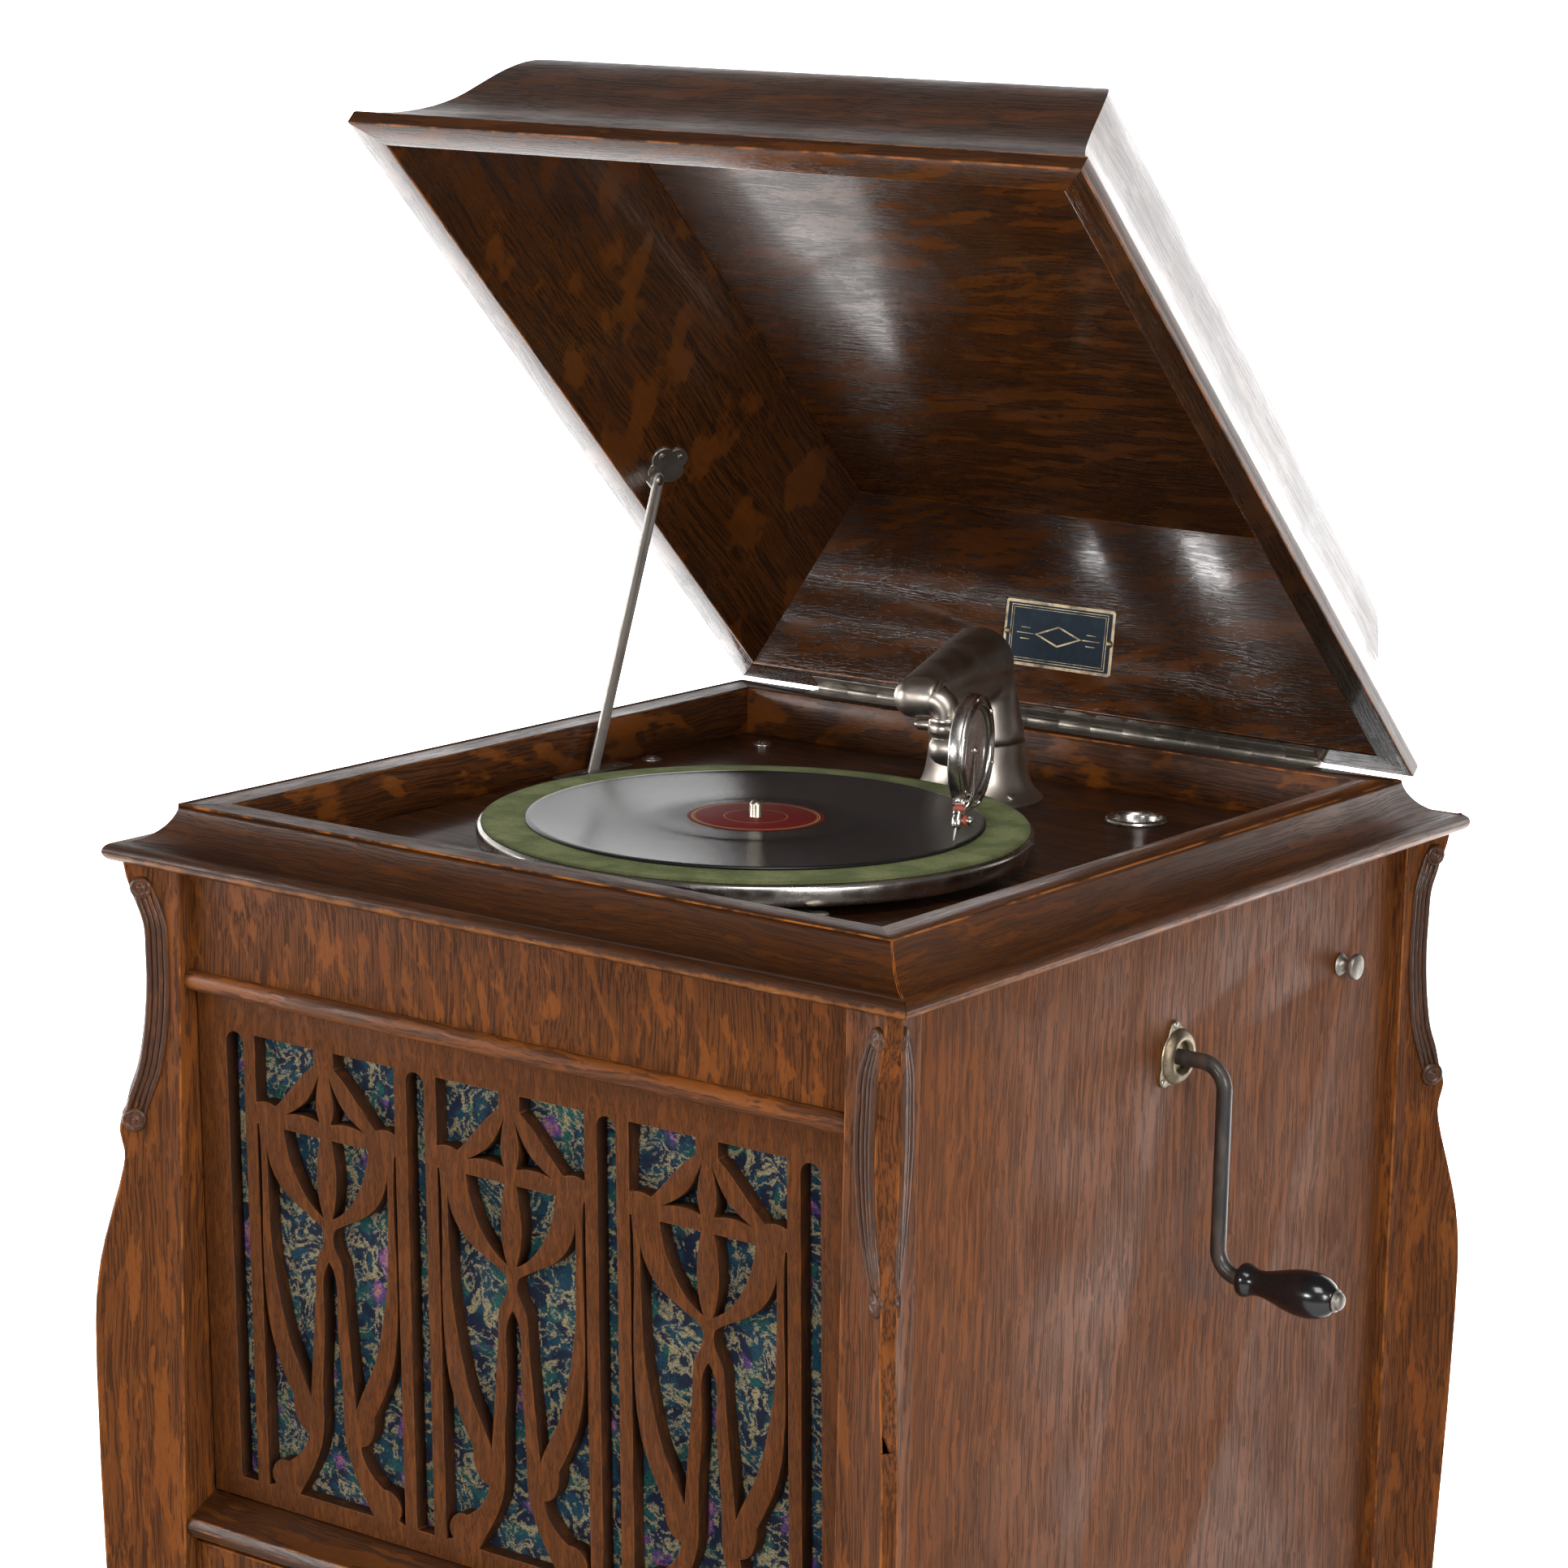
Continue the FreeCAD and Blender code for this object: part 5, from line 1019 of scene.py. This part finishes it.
def tonearm():
    """The flared pillar, and the hood-shaped arm that turns on it."""
    foot = Matrix.Translation((POST.x, POST.y, BOARD))
    base = Builder()
    flare = curve_through([(39.4, 0, 1.5), (36.6, 0, 4), (33.4, 0, 8.2), (31, 0, 14), (29.4, 0, 22),
        (28.3, 0, 34.6)], 6)
    outline = [(22, 0.1), (39.7, 0.1), (39.8, 0.9)] + [(point.x, point.z) for point in flare] + [(27.6, 35),
        (22, 35)]
    base.lathe(outline, foot, 128, closed=True)
    for angle in (-20, 100, 220):
        turn = radians(angle)
        base.screw(foot @ on_circle(34.6, turn, 6.3), on_circle(0.62, turn, 0.78), 3.0, angle, 0.3)
    base.done("tonearm_pillar", "case", NICKEL, ("tonearm_base",), 40)
    arm = Builder()
    dome = curve_through([(28.2, 0, 35.4), (27.4, 0, 42), (25.6, 0, 49), (22.8, 0, 63.3), (18.4, 0, 79),
        (10.6, 0, 92), (0, 0, 97.6)], 6)
    arm.lathe([(0, 35.4)] + [(point.x, point.z) for point in dome[:-1]] + [(0, 99.5)], foot, 96)
    root = Vector((POST.x, POST.y, ELBOW.z - 13))
    path = [root.lerp(ELBOW, step / 20) for step in range(21)]
    arm.sweep(path, [21.5 - 10.2 * step / 20 for step in range(21)], 48)
    ball = [(11.3 * sin(pi * step / 16), -11.3 * cos(pi * step / 16)) for step in range(1, 16)]
    arm.lathe([(0, -11.3)] + ball + [(0, 11.3)], axes_to(ELBOW, SIDE), 48)
    arm.sweep([ELBOW - SIDE * 4, ELBOW + SIDE * 5, ELBOW + SIDE * 14.6], 11.3, 48)
    fused("tonearm_hood", arm, "tonearm", NICKEL, ("tonearm",), 1.25)


def crook():
    """The bent tube that swivels in the arm's end and carries the soundbox."""
    builder = Builder()
    drop = SOUND - SIDE * 13.9
    corner = Vector((drop.x, drop.y, ELBOW.z))
    path = [ELBOW + SIDE * 6] + bend(corner, SIDE, -UP, 9.0, 10) + [drop + UP * 6]
    builder.sweep(path, 8.2, 40)
    builder.lathe([(7.6, 14.5), (9.5, 14.6), (10.2, 15.0), (10.2, 16.2), (9.6, 16.8), (8.4, 17.0),
        (7.6, 17.0)], axes_to(ELBOW, SIDE), 56, closed=True)
    socket = Matrix.Translation(drop)
    builder.lathe([(7.8, 17.6), (8.9, 17.5), (9.35, 16.9), (9.35, 14.9), (9.0, 14.4), (9.0, 13.7),
        (9.7, 13.3), (9.9, 12.6), (9.9, 10.0), (9.6, 9.2), (8.8, 8.6), (8.0, 6)], socket, 56, closed=True)
    builder.lathe([(0, 4.4), (9.5, 4.4), (9.65, 5.2), (9.65, 12.5), (9.3, 16.0), (8.2, 19.2), (6.4, 21.5),
        (3.6, 22.9), (0, 23.4)], axes_to(SOUND, -SIDE), 56)
    pin = axes_to(SOUND + UP * 12.2, -SIDE)
    builder.block((-4.4, -4.6, 21.4), (4.4, 4.2, 23.4), pin, 0.6)
    builder.lathe([(0, 10), (3.1, 10), (3.1, 23.2), (3.6, 23.4), (3.6, 24.2), (3.1, 24.5), (3.1, 29.6),
        (2.8, 30.4), (1.9, 30.8), (1.8, 31.6), (1.2, 32.2), (0, 32.3)], pin, 32)
    builder.done("crook_bent", "soundbox", NICKEL, ("crook",), 40)


def soundbox():
    face = axes_to(SOUND, SIDE)
    shell = Builder()
    shell.lathe([(0, -4.3), (29.4, -4.3), (30.8, -3.9), (31.5, -3.1), (31.6, -2.2), (31.6, 1.6), (31.3, 2.4),
        (30.6, 2.6), (26.2, 2.6), (26.0, 2.2), (26.0, -1.3), (0, -1.3)], face, 96)
    builder_screw = SOUND + (BACK * 0.72 + UP * 0.70) * 33.5 - SIDE * 1.6
    shell.lathe([(0, -5), (2.6, -5), (2.9, -3), (2.9, 2.4), (2.4, 3.2), (1.3, 3.5), (0, 3.5)],
        axes_to(builder_screw, SIDE), 28)
    shell.done("soundbox_back", "soundbox", NICKEL_BRIGHT, ("soundbox",), 40)
    ring = Builder()
    ring.lathe([(24.0, 2.4), (31.0, 2.4), (31.2, 2.8), (31.1, 3.9), (30.6, 4.5), (29.8, 4.6), (29.2, 4.1),
        (28.8, 3.7), (27.9, 3.7), (27.4, 4.1), (26.9, 4.8), (26.0, 5.1), (25.1, 4.8), (24.5, 4.2),
        (24.0, 3.4)], face, 96, closed=True)
    for angle in (38, 98, 158, 218, 278, 338):
        ring.screw(face @ on_circle(29.3, radians(angle), 4.2), SIDE, 1.35, angle * 3, 0.7)
    ring.done("soundbox_rim", "soundbox", NICKEL_BRIGHT, ("soundbox_ring",), 40)
    mica = Builder()
    mica.lathe([(0, 1.62), (8, 1.62), (8.3, 1.75), (8.7, 1.75), (9.0, 1.62), (19.6, 1.62), (20, 1.8),
        (20.5, 1.8), (20.9, 1.62), (25.8, 1.62), (25.8, 1.9), (0, 1.9)], face, 72)
    mica.done("soundbox_mica", "soundbox", MICA, ("diaphragm",), 40)
    gasket = Builder()
    gasket.lathe([(23.2, 1.9), (24.6, 1.9), (25.0, 2.3), (24.6, 2.9), (23.6, 3.0), (23.0, 2.5)], face, 72,
        closed=True)
    gasket.lathe([(22.6, -1.2), (25.8, -1.2), (25.8, 1.4), (23.4, 1.5), (22.6, 0.6)], face, 72, closed=True)
    gasket.done("soundbox_gasket", "soundbox", RUBBER_BLACK, (), 50)


def needle_arm():
    """Stylus bar, its pivot saddle under the rim, fibre washers, needle holder and needle."""
    reach = (NEEDLE_TIP - SOUND).length
    down = (NEEDLE_TIP - SOUND).normalized()
    side = down.cross(SIDE).normalized()
    out = side.cross(down).normalized()
    if out.dot(SIDE) < 0:
        out = -out
    bar = Builder()
    route = [SOUND + out * 2.2, SOUND + out * 3.6 + down * 6, SOUND + out * 5.2 + down * 18, SOUND + out * 5.6
        + down * 26, SOUND + out * 4.6 + down * 32, SOUND + out * 2.0 + down * 35]
    path = curve_through(route, 6)
    sizes = [0.9 + 1.7 * min(1.0, number / (len(path) - 8)) for number in range(len(path))]
    bar.sweep(path, sizes, 16, 0.45, out)
    bar.lathe([(0, 1.0), (2.2, 1.0), (2.4, 1.5), (2.1, 2.3), (1.0, 2.9), (0, 2.9)],
        axes_to(SOUND + SIDE * 0.8, SIDE), 24)
    turned = set_at(SOUND, side, out, down)
    bar.block((-4.6, -3.9, 30.4), (4.6, 3.4, 33.4), turned, 0.6)
    bar.block((-6.0, -2.4, 28.4), (-4.2, 2.4, 33.0), turned, 0.4)
    bar.block((4.2, -2.4, 28.4), (6.0, 2.4, 33.0), turned, 0.4)
    for hand in (-1, 1):
        at = SOUND + down * 31.4 + side * hand * 5.8
        bar.screw(at, side * hand, 1.5, 30, 0.6)
    bar.done("stylus_bar", "soundbox", NICKEL_BRIGHT, ("needle_arm",), 40)
    washers = Builder()
    line = axes_to(SOUND, down)
    washers.lathe([(0, 33.3), (3.3, 33.3), (3.7, 33.8), (3.7, 35.4), (3.3, 35.9), (0, 35.9)], line, 32)
    knob = axes_to(SOUND + down * 40.6, out)
    washers.lathe([(1.2, 3.3), (2.5, 3.3), (2.8, 3.7), (2.8, 5.1), (2.4, 5.5), (1.2, 5.5)], knob, 32,
        closed=True)
    washers.done("fibre_washers", "soundbox", FIBRE_RED, (), 40)
    holder = Builder()
    holder.lathe([(0, 35.9), (3.0, 35.9), (3.2, 36.4), (3.2, 37.8), (2.7, 38.3), (2.7, 39.6), (3.1, 40.0),
        (3.1, 43.6), (2.8, 44.0), (2.4, 44.9), (1.8, 45.4), (0.9, 45.5), (0, 45.5)], line, 36)
    holder.lathe([(0, 2.0), (1.3, 2.0), (1.3, 3.3), (2.1, 3.3), (2.1, 5.5), (1.4, 5.6), (1.4, 6.2),
        (2.6, 6.4), (2.8, 7.0), (2.7, 8.4), (2.0, 8.9), (0, 9.0)], knob, 32)
    holder.done("needle_holder", "soundbox", NICKEL_BRIGHT, (), 40)
    point = Builder()
    point.lathe([(0, reach - 17), (0.75, reach - 17), (0.75, reach - 6), (0.62, reach - 4.2),
        (0.3, reach - 1.2), (0.1, reach - 0.2), (0, reach)], line, 20)
    point.done("needle_steel", "soundbox", STEEL, ("needle",), 50)


# ---------------------------------------------------------------- lid


def lid():
    inverse = LID.inverted()
    turn_back = inverse.to_3x3()
    half = high_of("lid_moulding").x

    def lid_material(centre, normal):
        local = inverse @ centre
        facing = turn_back @ normal
        from_side = half - abs(local.x)
        from_back = -local.y
        from_front = LID_LONG + local.y
        on_side = from_side < min(from_back, from_front)
        if on_side:
            outward = Vector((copysign(1, local.x), 0, 0))
        else:
            outward = Vector((0, -1 if from_front < from_back else 1, 0))
        outside = facing.dot(outward) > 0.05 or facing.z > 0.3
        return (1 if on_side else 0) + (2 if outside else 0)
    # The outer front and back faces take the outside copy painted in shade, and so does the panel's top
    # below.
    eased("lid_moulding", "lid", [OAK_LID_X, OAK_LID_Y, OAK_LID_OUT_X_SHADED, OAK_LID_OUT_Y], 0.9,
        lid_material)

    def panel_material(_, normal):
        return 1 if (turn_back @ normal).z > 0.5 else 0
    eased("lid_panel", "lid", [OAK_LID_X, OAK_LID_OUT_X_SHADED], 0.4, panel_material)


def lid_hinge():
    """The long hinge with a slotted screw every 45 mm in each leaf."""
    eased("hinge_upper_leaf", "lid", NICKEL_OLD, 0.2)
    eased("hinge_lower_leaf", "case", NICKEL_OLD, 0.2)
    upper = Builder()
    lower = Builder()
    for number in range(8):
        x = -157.5 + 45 * number
        upper.screw(in_lid(x, 8.2, 0.12), -(LID.to_3x3() @ UP), 2.3, 40 + 67 * number, 0.02)
        lower.screw(Vector((x + 11, HINGE.y - 13, RIM - 0.12)), UP, 2.3, 15 + 53 * number, 0.02)
    upper.done("hinge_screws_lid", "lid", NICKEL_OLD)
    lower.done("hinge_screws_case", "case", NICKEL_OLD)


def stay():
    """The strap that holds the lid up, and the clover plate that it hangs from."""
    eased("lid_stay", "stay", STRAP_STEEL, 0.25)
    normal = LID.to_3x3() @ Vector((cos(LID_WALL), 0, -sin(LID_WALL)))
    centre = in_lid(-207, 194.8, 21.7)
    along = LID.to_3x3() @ Vector((0, 1, 0))
    up = normal.cross(along)
    basis = set_at(centre - normal * 0.1, along, up, normal)
    clover = Builder()
    angles = [2 * pi * number / 96 for number in range(96)]
    outline = [on_circle(10.3 + 3.4 * abs(cos(2 * angle)) ** 0.8, angle).xy for angle in angles]
    clover.plate(outline, basis, 1.5, 0.5)
    for number, angle in enumerate((90, 180, 270)):
        clover.screw(basis @ on_circle(9.0, radians(angle), 1.4), normal, 2.0, 35 + 80 * number)
    pivot = joint_at("stay_pivot")
    clover.sweep([pivot - RIGHT * 3.4, pivot + RIGHT * 0.9], 2.0, 24)
    clover.lathe([(0, 0), (3.3, 0), (3.2, 0.6), (2.4, 1.3), (1.2, 1.6), (0, 1.65)],
        axes_to(pivot + RIGHT * 0.8, RIGHT), 28)
    clover.lathe([(0, 0), (5.4, 0), (5.4, 1.2), (0, 1.2)], axes_to(pivot - RIGHT * 2.1, RIGHT), 32)
    clover.block((STAY_X - 2.9, -199.3, 4.6), (STAY_X - 1.3, -186.5, 18), LID, 0.4)
    clover.done("stay_clover", "lid", NICKEL_OLD, ("stay_bracket",), 35)


def name_plate():
    """A blank plate: blue ground, brass border and rules, a plain lozenge, and two pins."""
    turn = LID.to_3x3()
    up = turn @ Vector((0, -sin(LID_WALL), cos(LID_WALL)))
    normal = turn @ Vector((0, -cos(LID_WALL), -sin(LID_WALL)))
    centre = in_lid(1.5, 31.3 + 19.85 * sin(LID_WALL), 18.2 + 19.85 * cos(LID_WALL))
    basis = set_at(centre + normal * 0.05, RIGHT, up, normal)
    half_wide, half_high = 39, 19.85
    plate = Builder()

    def oblong(wide, high, corner=1.2):
        return [(-wide + corner, -high), (wide - corner, -high), (wide, -high + corner),
            (wide, high - corner), (wide - corner, high), (-wide + corner, high), (-wide, high - corner),
            (-wide, -high + corner)]
    plate.plate(oblong(half_wide, half_high), basis, 0.7, 0.2, material=1)
    plate.plate(oblong(half_wide - 1.9, half_high - 1.9, 0.5), basis, 0.78, 0.0)
    for wide, high, thick in ((34, 16.4, 0.30), (32.6, 15.0, 0.18)):
        rows = []
        for corner_x, corner_y in ((-1, -1), (1, -1), (1, 1), (-1, 1)):
            rows.append([basis @ Vector((corner_x * (wide + inner), corner_y * (high + inner), level))
                for inner, level in ((0, 0.7), (0, 0.95), (thick * 1.6, 0.95), (thick * 1.6, 0.7))])
        plate.rings(rows, closed=True, material=1)
    lozenge = [(-17, 0), (0, -6.6), (17, 0), (0, 6.6)]
    plate.plate(lozenge, basis, 0.95, 0.2, material=1)
    plate.plate([(x * 0.84, y * 0.80) for x, y in lozenge], basis, 1.0, 0.0)
    for hand in (-1, 1):
        for y in (-3.4, 0, 3.4):
            reach = 25 - abs(y) * 0.8
            plate.block((hand * 23.5 - (reach - 19), y - 0.28, 0.7),
                (hand * 23.5 + (reach - 19), y + 0.28, 0.96), basis, 0.05, material=1)
        pin = basis @ Vector((hand * 36.4, 0, 0.7))
        plate.lathe([(0, -0.2), (2.1, -0.2), (2.2, 0.2), (1.9, 0.8), (1.1, 1.3), (0, 1.45)],
            axes_to(pin, normal), 24, material=1)
    plate.done("name_plate_blank", "lid", [PLATE_BLUE, BRASS_AGED], ("name_plate",), 25)


# ---------------------------------------------------------------- hidden works


def works():
    """Motor, horn throat and damper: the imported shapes, in their own metals."""
    for node, body, material, slot in (("motor_frame", "case", IRON, "motor_iron"),
            ("horn_throat", "case", IRON, "motor_iron"), ("spring_barrel", "barrel", BRASS, "motor_brass"),
            ("mainspring", "barrel", STEEL, "steel"), ("barrel_arbor", "arbor", STEEL, "steel"),
            ("winding_shaft", "crank", STEEL, "steel"), ("intermediate_gear", "idler", BRASS, "motor_brass"),
            ("governor", "governor", BRASS, "motor_brass"), ("spindle", "turntable", SPINDLE_METAL, "steel"),
            ("tone_damper", "tone", STEEL, "steel")):
        if node in ("spindle", "motor_frame"):
            eased(node, body, material, 0.4)
        else:
            thing = frame["nodes"][node]
            thing.data.materials.clear()
            thing.data.materials.append(material)


# ---------------------------------------------------------------- camera, light and floor


def camera():
    yaw = radians(36.16)
    roll = radians(1.09)
    ahead = Vector((-0.57773, 0.79051, -0.20328)).normalized()
    level = Vector((cos(yaw), sin(yaw), 0))
    above = level.cross(ahead).normalized()
    across = level * cos(roll) + above * sin(roll)
    top = above * cos(roll) - level * sin(roll)
    data = bpy.data.cameras.new("camera")
    data.sensor_width = 36
    data.lens = 100.84
    data.clip_end = 50
    eye = bpy.data.objects.new("camera", data)
    eye.matrix_world = set_at((1.40858, -1.94863, 1.56828), across, top, -ahead)
    bpy.context.scene.collection.objects.link(eye)
    bpy.context.scene.camera = eye


def area_light(name, at, towards, size, power):
    """A soft box of width and height size, in metres."""
    data = bpy.data.lights.new(name, "AREA")
    data.shape = "RECTANGLE"
    data.size, data.size_y = size
    data.energy = power
    lamp = bpy.data.objects.new(name, data)
    lamp.matrix_world = axes_to(Vector(at), Vector(at) - Vector(towards))
    bpy.context.scene.collection.objects.link(lamp)


def studio():
    """White backdrop that lights the object from behind and beside, and soft lamps in front."""
    scene = bpy.context.scene
    scene.view_settings.view_transform = "Standard"
    world = bpy.data.worlds.new("studio")
    scene.world = world
    world.use_nodes = True
    world.node_tree.nodes.clear()
    graph = Graph(world.node_tree)
    gaze = graph.add("TexCoord", {}, output="Generated")
    aim = graph.along(gaze, BACKDROP)
    rise = graph.height(gaze)
    paper = graph.times(graph.ramp(aim, 0.2, 0.8, 0.0, 3.2), graph.ramp(rise, 0.3, 0.6, 1.0, 0.0))
    paper = graph.times(paper, graph.ramp(rise, 0.04, 0.2, 1.0, 0.4))
    seen = graph.add("LightPath", {}, output="Is Camera Ray")
    strength = graph.calc("MAXIMUM", seen, graph.plus(paper, 0.08))
    sky = graph.add("Background", {"Color": (1.0, 1.0, 1.0), "Strength": strength})
    graph.add("OutputWorld", {"Surface": sky}, output=None)
    middle = (0, 0, 1.0)
    area_light("key", (-2.5, -1.85, 1.35), middle, (1.6, 0.9), 55)
    area_light("front", (0.2, -3.2, 1.6), middle, (0.7, 0.5), 30)
    area_light("side", (3.0, -1.4, 1.7), middle, (1.2, 1.2), 62)
    area_light("top", (1.5, -1.5, 3.2), middle, (1.2, 1.2), 35)


def floor():
    builder = Builder()
    builder.plate([(-6000, -6000), (6000, -6000), (6000, 6000), (-6000, 6000)],
        Matrix.Translation((0, 0, -3)), 3)
    data = builder.to_data("floor")
    data.transform(Matrix.Scale(MM, 4))
    data.materials.append(floor_paint())
    ground = bpy.data.objects.new("floor", data)
    bpy.context.scene.collection.objects.link(ground)


camera()
studio()
floor()
cabinet()
grille_cloth()
scrolls()
doors()
door_hinges()
escutcheon()
crank()
tone_knob()
board_fittings()
turntable()
record()
tonearm()
crook()
soundbox()
needle_arm()
lid()
lid_hinge()
stay()
name_plate()
works()
